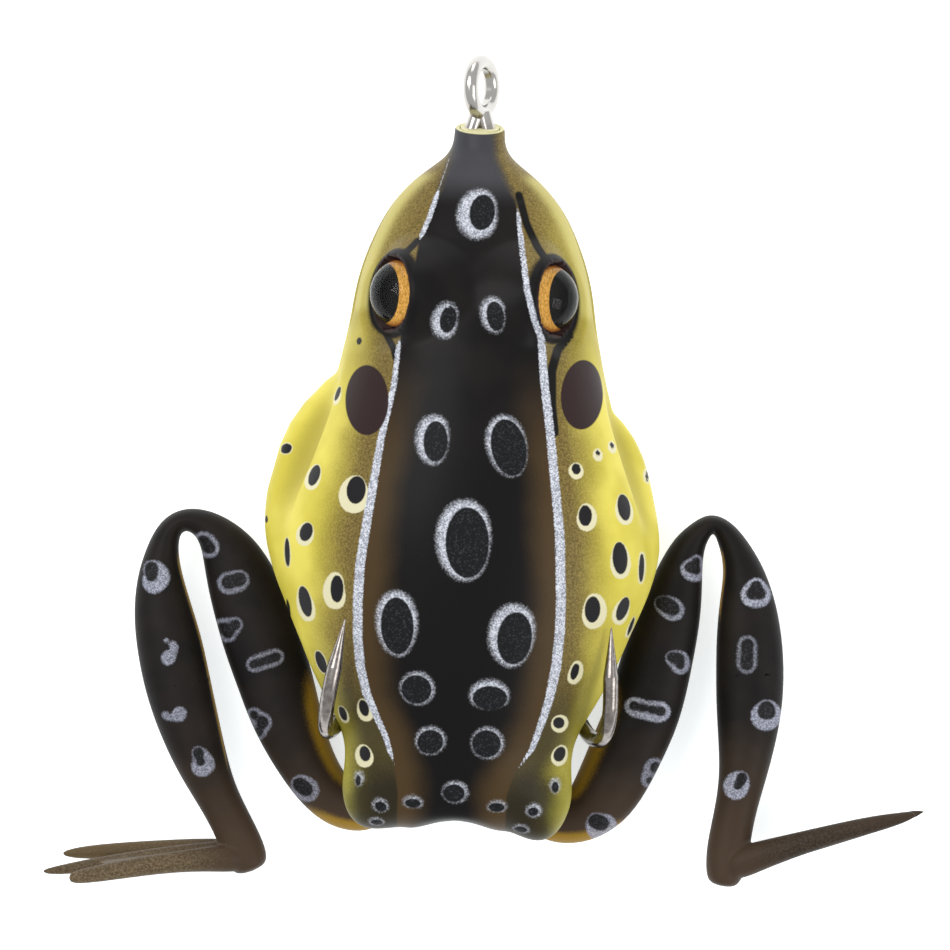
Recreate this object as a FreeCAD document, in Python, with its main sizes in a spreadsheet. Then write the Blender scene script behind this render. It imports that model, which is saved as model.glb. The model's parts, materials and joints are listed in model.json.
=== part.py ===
"""Hollow-body topwater frog lure: soft shell, one-wire double hook, keel weight, eyes and folding legs.

Frame: origin at the centre of the line-tie eye, +Y out of the nose, +X to the lure's right, +Z up.
Millimetres and degrees. Every size is a named cell of the sheet.
"""
import FreeCAD, Part, Sketcher
import math
import os
from FreeCAD import Placement, Rotation, Vector

PARTS_FOLDER = "parts"
ALONG_Y = Rotation(Vector(1, 0, 0), 90)
SIDES = {"left": -1, "right": 1}
TRIM_BLOCK = 30.0       # larger than the collar
BELLY_BLOCK = 120.0     # larger than the whole body
PAST = 1.0              # how far a cutting tool runs past a face

doc = FreeCAD.newDocument("hollow_frog_lure")
sheet = doc.addObject("Spreadsheet::Sheet", "sizes")

SIZES = {
    # soft shell
    "body_length": 60.0,
    "body_width": 34.6,
    "body_height": 22.2,
    "body_drop": -1.9,          # how far mid-height lies below the line tie
    "wall": 1.6,
    "belly_flat_cut": 0.35,
    "nose_reach": 3.4,          # line-tie centre to the collar's face
    "collar_radius": 2.2,
    "collar_length": 6.0,
    "collar_face_tilt": 17.0,
    # hook wire
    "wire": 1.3,
    "eye_mean_radius": 2.15,
    "eye_land_depth": 0.05,     # flat worn into the eye's inside, where the snap bears
    "eye_twist": 25.0,
    "eye_closing": 0.26,        # from the eye's middle to where each side leaves it
    "eye_neck_inset": 0.4,
    "eye_neck_bend": 1.5,
    "collar_bend": 9.0,
    "shank_bend": 12.0,
    "shank_pitch": 1.46,        # between the twin shanks
    "shank_level": -4.0,
    "shank_straight": "=body_length * 0.4333",   # collar face to where the shanks part
    "bend_setback": "=body_length * 0.8633",     # collar face to the rear of the bends
    "bend_radius": 4.9,
    "point_length": 9.7,        # rear of the bend to the needle tip
    "point_rise": 0.8,
    "point_cone": 4.2,
    "barb_height": 0.55,
    "left_bend_gap": 0.0,
    "right_bend_gap": 0.4,
    "left_bend_lean": 1.4,
    "right_bend_lean": 2.1,
    "left_point_toe_in": 1.8,
    "right_point_toe_in": 0.25,
    "point_clearance": 0.45,
    "slot_clearance": 0.35,
    "plug_radius": 1.65,
    "plug_length": 4.6,
    # keel weight on the shanks
    "weight_length": 13.0,
    "weight_width": 8.4,
    "weight_height": 5.2,
    "weight_corner": 1.8,
    "weight_setback": "=body_length * 0.2583",
    "weight_drop": 1.4,
    # eyes
    "eye_radius": 3.0,
    "eye_elevation": 30.0,
    "eye_setback": "=body_length * 0.2417",
    "eye_out": 6.9,
    "eye_up": 5.0,
    "eye_rim": 0.55,
    "eye_pocket": 0.9,
    "eye_boss_length": 5.2,
    "foil_thickness": 0.25,
    "dome_height": 1.9,
    "eye_clearance": 0.02,
    # legs
    "hip_inset": 2.7,
    "hip_setback": "=body_length * 0.9483",
    "hip_gap": 0.5,
    "hip_eye_radius": 2.6,
    "root_peg_radius": 1.3,
    "root_ball_radius": 1.85,
    "root_rise": 6.4,
    "root_clearance": 0.15,
    "boss_wall": 0.6,
    "thigh_length": 27.6,
    "shin_length": 29.2,
    "foot_length": 18.0,
    "leg_thickness": 4.4,
    "knee_radius": 1.9,
    "knee_thickness": 3.3,
    "ankle_radius": 1.5,
    "ankle_thickness": 3.0,
    "lap_gap": 0.12,
    "hinge_pin_radius": 0.6,
    "pin_clearance": 0.08,
    "turn_clearance": 0.3,
    "neck_overlap": 0.9,        # how far a hinge's neck runs into the flesh
    "hub_share": 0.9,           # hub height as a share of leg_thickness
    "toe_root_radius": 1.06,
    "toe_tip_radius": 0.38,
    "toe_length": 8.25,
    "toe_pitch": "=leg_thickness * 0.36",
    "toe_spread": 19.0,
    "left_thigh_out": 37.5,
    "right_thigh_out": 30.5,
    "left_shin_out": 192.5,
    "right_shin_out": 176.0,
    "left_foot_out": 96.2,
    "right_foot_out": 72.8,
}

# Shell sections, nose to tail: place along the body, then half-width, rise above and fall below
# mid-height, each as a share of the body's own length, width and height.
SECTIONS = {
    "collar": (0.045, 0.085, 0.190, 0.030),
    "snout": (0.085, 0.170, 0.250, 0.130),
    "brow": (0.135, 0.226, 0.322, 0.225),
    "head": (0.232, 0.288, 0.412, 0.335),
    "jaw": (0.340, 0.345, 0.462, 0.425),
    "shoulder": (0.440, 0.440, 0.492, 0.478),
    "flank": (0.570, 0.500, 0.500, 0.500),
    "loin": (0.718, 0.414, 0.464, 0.455),
    "waist": (0.880, 0.279, 0.365, 0.285),
    "lobes": (0.950, 0.278, 0.330, 0.145),
    "tail": (1.000, 0.190, 0.225, 0.030),
}
CAVITY = ["brow", "head", "jaw", "shoulder", "flank", "loin", "waist"]

# Limb sections: share along the bone, offset, half-width, share of leg_thickness. The offset is
# positive towards the side that the limb swings to as the leg opens.
THIGH = [
    (0.02, 1.0, 2.5, 0.95),
    (0.17, 3.0, 3.1, 1.00),
    (0.38, 2.3, 3.0, 1.00),
    (0.70, -0.1, 2.6, 0.96),
]
SHIN = [
    (0.23, -3.1, 2.6, 1.00),
    (0.40, -3.1, 2.8, 1.02),
    (0.57, -2.7, 2.65, 1.00),
    (0.76, -1.5, 2.0, 0.90),
]
FOOT = [
    (0.35, 0.2, 1.40, 1.10),
    (0.62, 0.1, 1.30, 1.45),
]
# Where flesh meets a hinge: offset and half-width of its last section, and the neck's width.
LIMB_ENDS = {
    "thigh_knee": (-1.35, 1.45, 2.2),
    "shin_knee": (-1.55, 1.50, 2.2),
    "shin_ankle": (-0.30, 1.60, 2.2),
    "foot_ankle": (0.20, 1.55, 2.0),
}


def fill_sheet():
    """Write every size, and every section's four shares, into the sheet."""
    cells = dict(SIZES)
    for name, shares in SECTIONS.items():
        for key, value in zip(("along", "wide", "rise", "fall"), shares):
            cells[f"{name}_{key}"] = value
    for row, (alias, value) in enumerate(cells.items(), start=1):
        sheet.set(f"A{row}", alias.replace("_", " "))
        sheet.set(f"B{row}", str(value))
        sheet.setAlias(f"B{row}", alias)
    doc.recompute()


def size(alias):
    """A size, read back from the sheet."""
    return float(sheet.get(alias))


def add(kind, name, **bindings):
    """A document object whose properties are bound to sheet cells; __ stands for a dot."""
    item = doc.addObject(kind, name)
    for prop, expression in bindings.items():
        item.setExpression(prop.replace("__", "."), expression)
    return item


def bind_place(item, x="0", y="0", z="0"):
    for axis, expression in (("x", x), ("y", y), ("z", z)):
        item.setExpression(f"Placement.Base.{axis}", f"({expression}) * 1 mm")
    return item


def boolean(kind, name, base, tools):
    """Part::Cut or Part::MultiFuse of a base and its tools."""
    if kind == "Part::Cut":
        tool = tools[0]
        if len(tools) > 1:
            tool = doc.addObject("Part::MultiFuse", f"{name}_tools")
            tool.Shapes = tools
        result = doc.addObject(kind, name)
        result.Base = base
        result.Tool = tool
    else:
        result = doc.addObject("Part::MultiFuse", name)
        result.Shapes = [base] + tools
    return result


# ---------------------------------------------------------------- shell
def section_numbers(name):
    """Place, half-width, top and bottom of one shell section, in millimetres."""
    half_width = size("body_width") * size(f"{name}_wide")
    top = size("body_drop") + size("body_height") * size(f"{name}_rise")
    bottom = size("body_drop") - size("body_height") * size(f"{name}_fall")
    place = -size("nose_reach") - size("body_length") * size(f"{name}_along")
    return place, half_width, top, bottom


def shell_section(name, inset="0"):
    """One elliptical section across the body, drawn in by inset for the cavity."""
    ellipse = add(
        "Part::Ellipse", f"{name}_section",
        MajorRadius=f"sizes.body_width * sizes.{name}_wide - {inset}",
        MinorRadius=f"sizes.body_height * (sizes.{name}_rise + sizes.{name}_fall) / 2 - {inset}",
    )
    ellipse.Placement = Placement(Vector(), ALONG_Y)
    bind_place(
        ellipse,
        y=f"-sizes.nose_reach - sizes.body_length * sizes.{name}_along",
        z=f"sizes.body_drop + sizes.body_height * (sizes.{name}_rise - sizes.{name}_fall) / 2",
    )
    return ellipse


def loft(name, sections):
    item = doc.addObject("Part::Loft", name)
    item.Sections = sections
    item.Solid = True
    return item


def nose_trim(name):
    """A block whose lower face is the collar's tilted face; it trims the collar and its plug."""
    block = doc.addObject("Part::Box", name)
    block.Length = block.Width = block.Height = TRIM_BLOCK
    tilt = Rotation(Vector(1, 0, 0), size("collar_face_tilt"))
    corner = tilt.multVec(Vector(-TRIM_BLOCK / 2, 0, -TRIM_BLOCK / 2)) + Vector(0, -size("nose_reach"), 0)
    block.Placement = Placement(corner, tilt)
    return block


def along_nose(kind, name, start, **bindings):
    """A round piece on the nose's own axis that runs back from a place along Y."""
    item = add(kind, name, **bindings)
    item.Placement = Placement(Vector(), ALONG_Y)
    return bind_place(item, y=start)


def eye_rotation(side):
    """Turns +Z to the eye's outward axis."""
    lift = size("eye_elevation")
    return Rotation(Vector(0, 1, 0), side * (90 - lift))


def at_eye(item, side, depth):
    """Put a piece on the eye's axis, depth below the eye's seat plane."""
    turn = eye_rotation(side)
    seat = Vector(side * size("eye_out"), -size("nose_reach") - size("eye_setback"), size("eye_up"))
    item.Placement = Placement(seat - turn.multVec(Vector(0, 0, depth)), turn)
    return item


def hip_xyz(side):
    """Where the leg's root turns, at the height of the leg's mid-plane."""
    _, half_width, _, bottom = section_numbers("lobes")
    out = half_width - size("hip_inset")
    level = bottom - size("hip_gap") - size("leg_thickness") / 2
    return Vector(side * out, -size("nose_reach") - size("hip_setback"), level)


def hip_socket(side_name):
    """The ball-ended hole in a tail lobe that takes the leg's root."""
    hip = hip_xyz(SIDES[side_name])
    neck = add("Part::Cylinder", f"{side_name}_socket_neck",
               Radius="sizes.root_peg_radius + sizes.root_clearance", Height="sizes.root_rise")
    neck.Placement = Placement(hip, Rotation())
    ball = add("Part::Sphere", f"{side_name}_socket_ball",
               Radius="sizes.root_ball_radius + sizes.root_clearance")
    ball.Placement = Placement(hip + Vector(0, 0, size("root_rise")), Rotation())
    return [neck, ball]


def hip_boss(side_name):
    """The moulded lug under a tail lobe that the leg's root plugs into."""
    hip = hip_xyz(SIDES[side_name])
    lug = add("Part::Cylinder", f"{side_name}_hip_boss",
              Radius="sizes.root_ball_radius + sizes.root_clearance + sizes.boss_wall",
              Height="sizes.root_rise - sizes.leg_thickness / 2 - sizes.hip_gap")
    lug.Placement = Placement(hip + Vector(0, 0, size("leg_thickness") / 2 + size("hip_gap")), Rotation())
    return lug


def hip_relief(side_name):
    """Room for the leg's hub to turn, which only cuts a body whose belly comes near it."""
    room = add("Part::Cylinder", f"{side_name}_hip_relief", Radius="sizes.hip_eye_radius + sizes.turn_clearance",
               Height="sizes.leg_thickness * sizes.hub_share + 2 * sizes.turn_clearance")
    centre = hip_xyz(SIDES[side_name])
    room.Placement = Placement(centre - Vector(0, 0, float(room.Height) / 2), Rotation())
    return room


def make_shell(slot_tools):
    skin = loft("outer_skin", [shell_section(name) for name in SECTIONS])
    collar = along_nose("Part::Cylinder", "collar_tube", "-sizes.nose_reach + sizes.collar_radius",
                        Radius="sizes.collar_radius", Height="sizes.collar_length")
    bosses = []
    pockets = []
    for side_name, side in SIDES.items():
        boss = add("Part::Cylinder", f"{side_name}_eye_boss",
                   Radius="sizes.eye_radius + sizes.eye_rim", Height="sizes.eye_boss_length")
        bosses.append(at_eye(boss, side, size("eye_boss_length")))
        pocket = add("Part::Cylinder", f"{side_name}_eye_pocket",
                     Radius="sizes.eye_radius + sizes.eye_clearance",
                     Height=f"sizes.eye_pocket + sizes.dome_height + {PAST}")
        pockets.append(at_eye(pocket, side, size("eye_pocket")))
        bosses.append(hip_boss(side_name))
    solid = boolean("Part::MultiFuse", "solid_body", skin, [collar] + bosses)

    cavity_sections = [shell_section(name, "sizes.wall") for name in CAVITY]
    cavity = loft("cavity", cavity_sections)
    bore = along_nose("Part::Cylinder", "collar_bore", "-sizes.nose_reach + sizes.collar_radius",
                      Radius="sizes.plug_radius",
                      Height=f"sizes.body_length * sizes.brow_along + sizes.collar_radius + {PAST}")
    belly = doc.addObject("Part::Box", "belly_trim")
    belly.Length = belly.Width = belly.Height = BELLY_BLOCK
    middle, _, _, lowest = section_numbers("flank")
    belly.Placement.Base = Vector(-BELLY_BLOCK / 2, middle - BELLY_BLOCK / 2,
                                  lowest + size("belly_flat_cut") - BELLY_BLOCK)
    tools = [cavity, bore, belly, nose_trim("collar_trim")] + pockets + slot_tools
    for side_name in SIDES:
        tools += hip_socket(side_name) + [hip_relief(side_name)]
    return boolean("Part::Cut", "body_shell", solid, tools)


# ---------------------------------------------------------------- hook
def rounded_path(points, radii):
    """Edges of straight runs joined by tangent arcs, one radius per inner point."""
    edges = []
    start = points[0]
    for before, corner, after, radius in zip(points, points[1:], points[2:], radii):
        arrive = (corner - before).normalize()
        leave = (after - corner).normalize()
        turn = arrive.getAngle(leave)
        cut = radius * math.tan(turn / 2)
        first = corner - arrive * cut
        last = corner + leave * cut
        inward = (leave - arrive).normalize()
        middle = corner + inward * (radius / math.cos(turn / 2) - radius)
        edges.append(Part.LineSegment(start, first).toShape())
        edges.append(Part.Arc(first, middle, last).toShape())
        start = last
    edges.append(Part.LineSegment(start, points[-1]).toShape())
    return edges


def tube(edges, radius):
    """A round wire of one radius along a path."""
    start = edges[0].Vertexes[0].Point
    circle = Part.Circle(start, edges[0].tangentAt(edges[0].FirstParameter), radius)
    return Part.Wire(edges).makePipeShell([Part.Wire(circle.toShape())], True, False)


def hook_points(side_name):
    """The corners of one side of the wire, from the line-tie eye to its point."""
    side = SIDES[side_name]
    face = -size("nose_reach")
    wire = size("wire")
    shank = side * size("shank_pitch") / 2
    waist_half = section_numbers("waist")[1]
    low = waist_half + wire / 2 + size(f"{side_name}_bend_gap")
    high = low + size(f"{side_name}_bend_lean")
    tip = high - size(f"{side_name}_point_toe_in")
    rear = face - size("bend_setback")
    tip_level = back_level(tip, rear + size("point_length")) + wire / 2 + size("point_clearance")
    top = tip_level - size("point_rise")
    level = size("shank_level")
    corner = Vector(side * high, rear, top)
    needle = Vector(side * tip, rear + size("point_length"), tip_level)
    forward = (needle - corner).normalize()
    return [
        Vector(side * size("eye_closing"), -size("eye_mean_radius"), 0),
        Vector(shank, face - size("eye_neck_inset"), 0),
        Vector(shank, face - size("collar_length"), 0),
        Vector(shank, face - size("shank_straight"), level),
        Vector(side * low, rear, level),
        corner,
        needle - forward * size("point_cone"),
    ]


def back_level(x, y):
    """Height of the back at a place over the rear of the flank, from the two sections beside it."""
    level = 0
    front = section_numbers("flank")
    behind = section_numbers("loin")
    share = min(max((y - behind[0]) / (front[0] - behind[0]), 0), 1)
    for weight, (place, half_width, top, bottom) in ((share, front), (1 - share, behind)):
        reach = max(1 - (x / half_width) ** 2, 0)
        level += weight * ((top + bottom) / 2 + (top - bottom) / 2 * math.sqrt(reach))
    return level


def bend_radius(side_name):
    """The bend's radius, kept inside half the hook's gap."""
    points = hook_points(side_name)
    return min(size("bend_radius"), points[4].distanceToPoint(points[5]) * 0.48)


def hook_path(side_name):
    bend = bend_radius(side_name)
    bends = [size("eye_neck_bend"), size("collar_bend"), size("shank_bend"), bend, bend]
    return rounded_path(hook_points(side_name), bends)


def barbed_point(side_name):
    """The needle point with its small barb, on the end of one bend."""
    points = hook_points(side_name)
    forward = (points[-1] - points[-2]).normalize()
    tip = points[-1] + forward * size("point_cone")
    cone = Part.makeCone(size("wire") / 2, 0.05, size("point_cone"), points[-1], forward)
    inward = (Vector(0, 0, -1) - forward * forward.dot(Vector(0, 0, -1))).normalize()
    root = tip - forward * (size("point_cone") * 0.9)
    heel = tip - forward * size("point_cone") + inward * (size("wire") / 2 * 0.9 + size("barb_height") * 0.5)
    nib = tip - forward * (size("point_cone") * 0.45)
    side_step = forward.cross(inward).normalize() * (size("wire") * 0.14)
    outline = [root - side_step, heel - side_step, nib - side_step]
    face = Part.Face(Part.makePolygon(outline + [outline[0]]))
    return [cone, face.extrude(side_step * 2)]


def line_tie_eye():
    """The closed loop at the nose, with the narrow land that a snap wears inside it."""
    twist = Rotation(Vector(0, 1, 0), 90 - size("eye_twist"))
    axis = twist.multVec(Vector(0, 0, 1))
    ring = Part.makeTorus(size("eye_mean_radius"), size("wire") / 2, Vector(), axis)
    land = size("eye_mean_radius") - size("wire") / 2 + size("eye_land_depth")
    return ring, Part.makeCylinder(land, 4 * size("wire"), axis * (-2 * size("wire")), axis)


def make_hook():
    ring, land = line_tie_eye()
    pieces = [tube(hook_path(name), size("wire") / 2) for name in SIDES]
    for name in SIDES:
        pieces += barbed_point(name)
    shape = ring.fuse(pieces).cut(land)
    hook = doc.addObject("Part::Feature", "double_hook")
    hook.Shape = shape.removeSplitter()
    hook.Placement = Placement()
    return hook


def hook_tool(name, first, last, clearance):
    """The wire's own path between two of its edges, grown by a clearance, to cut its way."""
    shapes = [tube(hook_path(side)[first:last], size("wire") / 2 + clearance) for side in SIDES]
    tool = doc.addObject("Part::Feature", name)
    tool.Shape = shapes[0].fuse(shapes[1])
    tool.Placement = Placement()
    return tool


# ---------------------------------------------------------------- weight and plug
def make_weight(shank_tool):
    block = add("Part::Box", "weight_block", Length="sizes.weight_width",
                Width="sizes.weight_length", Height="sizes.weight_height")
    bind_place(block, x="-sizes.weight_width / 2",
               y="-sizes.nose_reach - sizes.weight_setback - sizes.weight_length",
               z="sizes.shank_level - sizes.weight_drop - sizes.weight_height / 2")
    doc.recompute()
    rounded = doc.addObject("Part::Fillet", "weight_rounded")
    rounded.Base = block
    corner = size("weight_corner")
    rounded.Edges = [(number + 1, corner, corner) for number in range(len(block.Shape.Edges))]
    return boolean("Part::Cut", "keel_weight", rounded, [shank_tool])


def make_plug(shank_tool):
    rod = along_nose("Part::Cylinder", "plug_rod", "-sizes.nose_reach + sizes.collar_radius",
                     Radius="sizes.plug_radius", Height="sizes.plug_length + sizes.collar_radius")
    return boolean("Part::Cut", "nose_plug", rod, [nose_trim("plug_trim"), shank_tool])


# ---------------------------------------------------------------- eyes
def origin_plane(body, role):
    return next(item for item in body.Origin.OriginFeatures if item.Role == role)


def sketch_on(body, name, role):
    sketch = body.newObject("Sketcher::SketchObject", name)
    sketch.AttachmentSupport = (origin_plane(body, role), [""])
    sketch.MapMode = "FlatFace"
    return sketch


def make_foil(side_name):
    """The printed iris: a thin disc on the bottom of the eye's pocket."""
    import Sketcher
    body = doc.addObject("PartDesign::Body", f"{side_name}_eye_foil")
    sketch = sketch_on(body, f"{side_name}_foil_sketch", "XY_Plane")
    sketch.addGeometry(Part.Circle(Vector(), Vector(0, 0, 1), size("eye_radius")))
    sketch.addConstraint(Sketcher.Constraint("Coincident", 0, 3, -1, 1))
    sketch.addConstraint(Sketcher.Constraint("Radius", 0, size("eye_radius")))
    sketch.setExpression("Constraints[1]", "sizes.eye_radius")
    pad = body.newObject("PartDesign::Pad", f"{side_name}_foil_pad")
    pad.Profile = sketch
    pad.setExpression("Length", "sizes.foil_thickness")
    return at_eye(body, SIDES[side_name], size("eye_pocket"))


def make_dome(side_name):
    """The clear lens over the iris: a straight rim below a spherical cap."""
    rim = size("eye_pocket") - size("foil_thickness")
    radius = size("eye_radius")
    rise = size("dome_height")
    ball_radius = (radius ** 2 + rise ** 2) / (2 * rise)
    disc = add("Part::Cylinder", f"{side_name}_dome_rim", Radius="sizes.eye_radius",
               Height="sizes.eye_pocket - sizes.foil_thickness + sizes.dome_height")
    ball = doc.addObject("Part::Sphere", f"{side_name}_dome_ball")
    ball.Radius = ball_radius
    ball.Placement.Base = Vector(0, 0, rim + rise - ball_radius)
    dome = doc.addObject("Part::Common", f"{side_name}_eye_dome")
    dome.Base = disc
    dome.Tool = ball
    return at_eye(dome, SIDES[side_name], rim)


# ---------------------------------------------------------------- legs
def limb_section(name, place, across, half_width, thickness_cell, share):
    """One elliptical section square to local +X; its longer radius has to be the major one."""
    half_height = f"{thickness_cell} * {share} / 2"
    wide = half_width > size(thickness_cell.split(".")[1]) * share / 2
    lying = Rotation(Vector(0, 1, 0), Vector(0, 0, 1), Vector(1, 0, 0), "XYZ")
    standing = Rotation(Vector(0, 0, 1), Vector(0, -1, 0), Vector(1, 0, 0), "XYZ")
    ellipse = add("Part::Ellipse", name, MajorRadius=str(half_width) if wide else half_height,
                  MinorRadius=half_height if wide else str(half_width))
    ellipse.Placement = Placement(Vector(), lying if wide else standing)
    return bind_place(ellipse, x=place, y=str(across))


def limb_loft(name, side, bone, stations):
    """A limb's flesh: elliptical sections along its bone, which lies on local +X."""
    sections = []
    for number, (share, offset, half_width, thick) in enumerate(stations, start=1):
        sections.append(limb_section(f"{name}_section_{number}", f"sizes.{bone} * {share}",
                                     -side * offset, half_width, "sizes.leg_thickness", thick))
    return loft(f"{name}_flesh", sections)


def limb_end(name, side, bone, joint, at_far_end, outward, half_width):
    """The section that stops clear of the hinge, for the flesh to end on."""
    reach = f"sizes.{joint}_radius + sizes.turn_clearance"
    place = f"sizes.{bone} - ({reach})" if at_far_end else reach
    return limb_section(f"{name}_{joint}_section", place, -side * outward, half_width,
                        f"sizes.{joint}_thickness", 1)


def lap(name, side, bone, joint, upper, at_far_end, outward, width):
    """Half of a lap hinge: a half-height disc and the neck that joins it to the flesh."""
    centre = f"sizes.{bone}" if at_far_end else "0"
    half = f"(sizes.{joint}_thickness - sizes.lap_gap) / 2"
    floor = "sizes.lap_gap / 2" if upper else f"-sizes.{joint}_thickness / 2"
    disc = add("Part::Cylinder", f"{name}_{joint}_disc", Radius=f"sizes.{joint}_radius", Height=half)
    bind_place(disc, x=centre, z=floor)
    run = f"sizes.{joint}_radius + sizes.turn_clearance + sizes.neck_overlap"
    neck = add("Part::Box", f"{name}_{joint}_neck", Length=run, Width=f"{width}", Height=half)
    start = f"sizes.{bone} - ({run})" if at_far_end else "0"
    bind_place(neck, x=start, y=f"{-side * outward} - {width} / 2", z=floor)
    return [disc, neck]


def hinge_pin(name, bone, joint):
    """The peg under the upper half of a lap, which the lower half turns on."""
    pin = add("Part::Cylinder", f"{name}_{joint}_pin", Radius="sizes.hinge_pin_radius",
              Height=f"sizes.{joint}_thickness / 2 + sizes.lap_gap")
    return bind_place(pin, x=f"sizes.{bone}", z=f"-sizes.{joint}_thickness / 2")


def hinge_hole(name, joint):
    hole = add("Part::Cylinder", f"{name}_{joint}_hole",
               Radius="sizes.hinge_pin_radius + sizes.pin_clearance",
               Height=f"sizes.{joint}_thickness + 2 * {PAST}")
    return bind_place(hole, z=f"-sizes.{joint}_thickness / 2 - {PAST}")


def place_limb(item, side, joint_xyz, out_angle):
    """Turn the bone from local +X to its angle, measured outward from straight ahead."""
    item.Placement = Placement(joint_xyz, Rotation(Vector(0, 0, 1), 90 - side * out_angle))
    return item


def bone_tip(start, side, length, out_angle):
    angle = math.radians(out_angle)
    return start + Vector(side * math.sin(angle) * length, math.cos(angle) * length, 0)


def joint_places(side_name):
    """Hip, knee and ankle axes at rest."""
    side = SIDES[side_name]
    hip = hip_xyz(side)
    knee = bone_tip(hip, side, size("thigh_length"), size(f"{side_name}_thigh_out"))
    ankle = bone_tip(knee, side, size("shin_length"), size(f"{side_name}_shin_out"))
    return hip, knee, ankle


def make_thigh(side_name):
    side = SIDES[side_name]
    name = f"{side_name}_thigh"
    offset, half_width, neck = LIMB_ENDS["thigh_knee"]
    flesh = limb_loft(name, side, "thigh_length", THIGH)
    knee_end = limb_end(name, side, "thigh_length", "knee", True, offset, half_width)
    flesh.Sections = flesh.Sections + [knee_end]
    hub = add("Part::Cylinder", f"{name}_hub", Radius="sizes.hip_eye_radius",
              Height="sizes.leg_thickness * sizes.hub_share")
    bind_place(hub, z="-sizes.leg_thickness * sizes.hub_share / 2")
    peg = add("Part::Cylinder", f"{name}_peg", Radius="sizes.root_peg_radius", Height="sizes.root_rise")
    ball = add("Part::Sphere", f"{name}_ball", Radius="sizes.root_ball_radius")
    bind_place(ball, z="sizes.root_rise")
    pieces = [hub, peg, ball, hinge_pin(name, "thigh_length", "knee")]
    pieces += lap(name, side, "thigh_length", "knee", True, True, offset, neck)
    thigh = boolean("Part::MultiFuse", name, flesh, pieces)
    return place_limb(thigh, side, joint_places(side_name)[0], size(f"{side_name}_thigh_out"))


def make_shin(side_name):
    side = SIDES[side_name]
    name = f"{side_name}_shin"
    knee_offset, knee_half, knee_neck = LIMB_ENDS["shin_knee"]
    ankle_offset, ankle_half, ankle_neck = LIMB_ENDS["shin_ankle"]
    flesh = limb_loft(name, side, "shin_length", SHIN)
    knee_end = limb_end(name, side, "shin_length", "knee", False, knee_offset, knee_half)
    ankle_end = limb_end(name, side, "shin_length", "ankle", True, ankle_offset, ankle_half)
    flesh.Sections = [knee_end] + flesh.Sections + [ankle_end]
    pieces = lap(name, side, "shin_length", "knee", False, False, knee_offset, knee_neck)
    pieces += lap(name, side, "shin_length", "ankle", True, True, ankle_offset, ankle_neck)
    pieces.append(hinge_pin(name, "shin_length", "ankle"))
    whole = boolean("Part::MultiFuse", f"{name}_whole", flesh, pieces)
    shin = boolean("Part::Cut", name, whole, [hinge_hole(name, "knee")])
    return place_limb(shin, side, joint_places(side_name)[1], size(f"{side_name}_shin_out"))


def make_foot(side_name):
    side = SIDES[side_name]
    name = f"{side_name}_foot"
    offset, half_width, neck = LIMB_ENDS["foot_ankle"]
    web = limb_loft(name, side, "foot_length", FOOT)
    ankle_end = limb_end(name, side, "foot_length", "ankle", False, offset, half_width)
    web.Sections = [ankle_end] + web.Sections
    pieces = lap(name, side, "foot_length", "ankle", False, False, offset, neck)
    for number, fan in enumerate((-1, 0, 1), start=1):
        toe = add("Part::Cone", f"{name}_toe_{number}", Radius1="sizes.toe_root_radius",
                  Radius2="sizes.toe_tip_radius", Height="sizes.toe_length")
        toe.Placement = Placement(Vector(), Rotation(Vector(0, 1, 0), 90 + fan * size("toe_spread")))
        bind_place(toe, x="sizes.foot_length - sizes.toe_length", z=f"{-fan} * sizes.toe_pitch")
        pieces.append(toe)
    whole = boolean("Part::MultiFuse", f"{name}_whole", web, pieces)
    foot = boolean("Part::Cut", name, whole, [hinge_hole(name, "ankle")])
    return place_limb(foot, side, joint_places(side_name)[2], size(f"{side_name}_foot_out"))


# ---------------------------------------------------------------- build, check, write
def check_and_write(nodes):
    doc.recompute()
    for item in doc.Objects:
        if "Invalid" in item.State or "Error" in item.State:
            raise RuntimeError(f"{item.Name} failed: {item.State}")
    os.makedirs(PARTS_FOLDER, exist_ok=True)
    for node in nodes:
        shape = node.Shape
        if shape.isNull() or not shape.isValid() or len(shape.Solids) != 1:
            raise RuntimeError(f"{node.Label}: null, invalid or {len(shape.Solids)} solids")
        shape.exportStep(os.path.join(PARTS_FOLDER, f"{node.Label}.step"))
        box = shape.BoundBox
        print(f"{node.Label:16s} {shape.Volume:9.1f} mm3  x {box.XMin:7.2f} {box.XMax:7.2f}"
              f"  y {box.YMin:7.2f} {box.YMax:7.2f}  z {box.ZMin:7.2f} {box.ZMax:7.2f}")


def report_joints():
    for side_name in SIDES:
        for joint, place in zip(("hip", "knee", "ankle"), joint_places(side_name)):
            print(f"{side_name}_{joint} axis at ({place.x:.4f}, {place.y:.4f}, {place.z:.4f})")


def main():
    fill_sheet()
    slots = hook_tool("hook_slots", 6, 10, size("slot_clearance"))
    nodes = [
        make_shell([slots]),
        make_plug(hook_tool("plug_wire_way", 0, 6, 0)),
        make_hook(),
        make_weight(hook_tool("weight_wire_way", 2, 9, 0)),
    ]
    for side_name in SIDES:
        nodes += [make_foil(side_name), make_dome(side_name)]
        nodes += [make_thigh(side_name), make_shin(side_name), make_foot(side_name)]
    check_and_write(nodes)
    report_joints()


main()
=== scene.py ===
# %% [markdown]
# # A hollow frog lure, seen from above
#
# The lure is a soft hollow frog with a painted skin, glossy eyes, a plated double hook and two
# folding legs. The CAD model gives the frame: where each joint turns and how large each part is.
# This lesson makes what the eye sees, and each piece rides on its CAD body.

# %% Load the frame
import json
import math

import bmesh
import bpy
import numpy as np
from mathutils import Matrix, Vector

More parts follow.
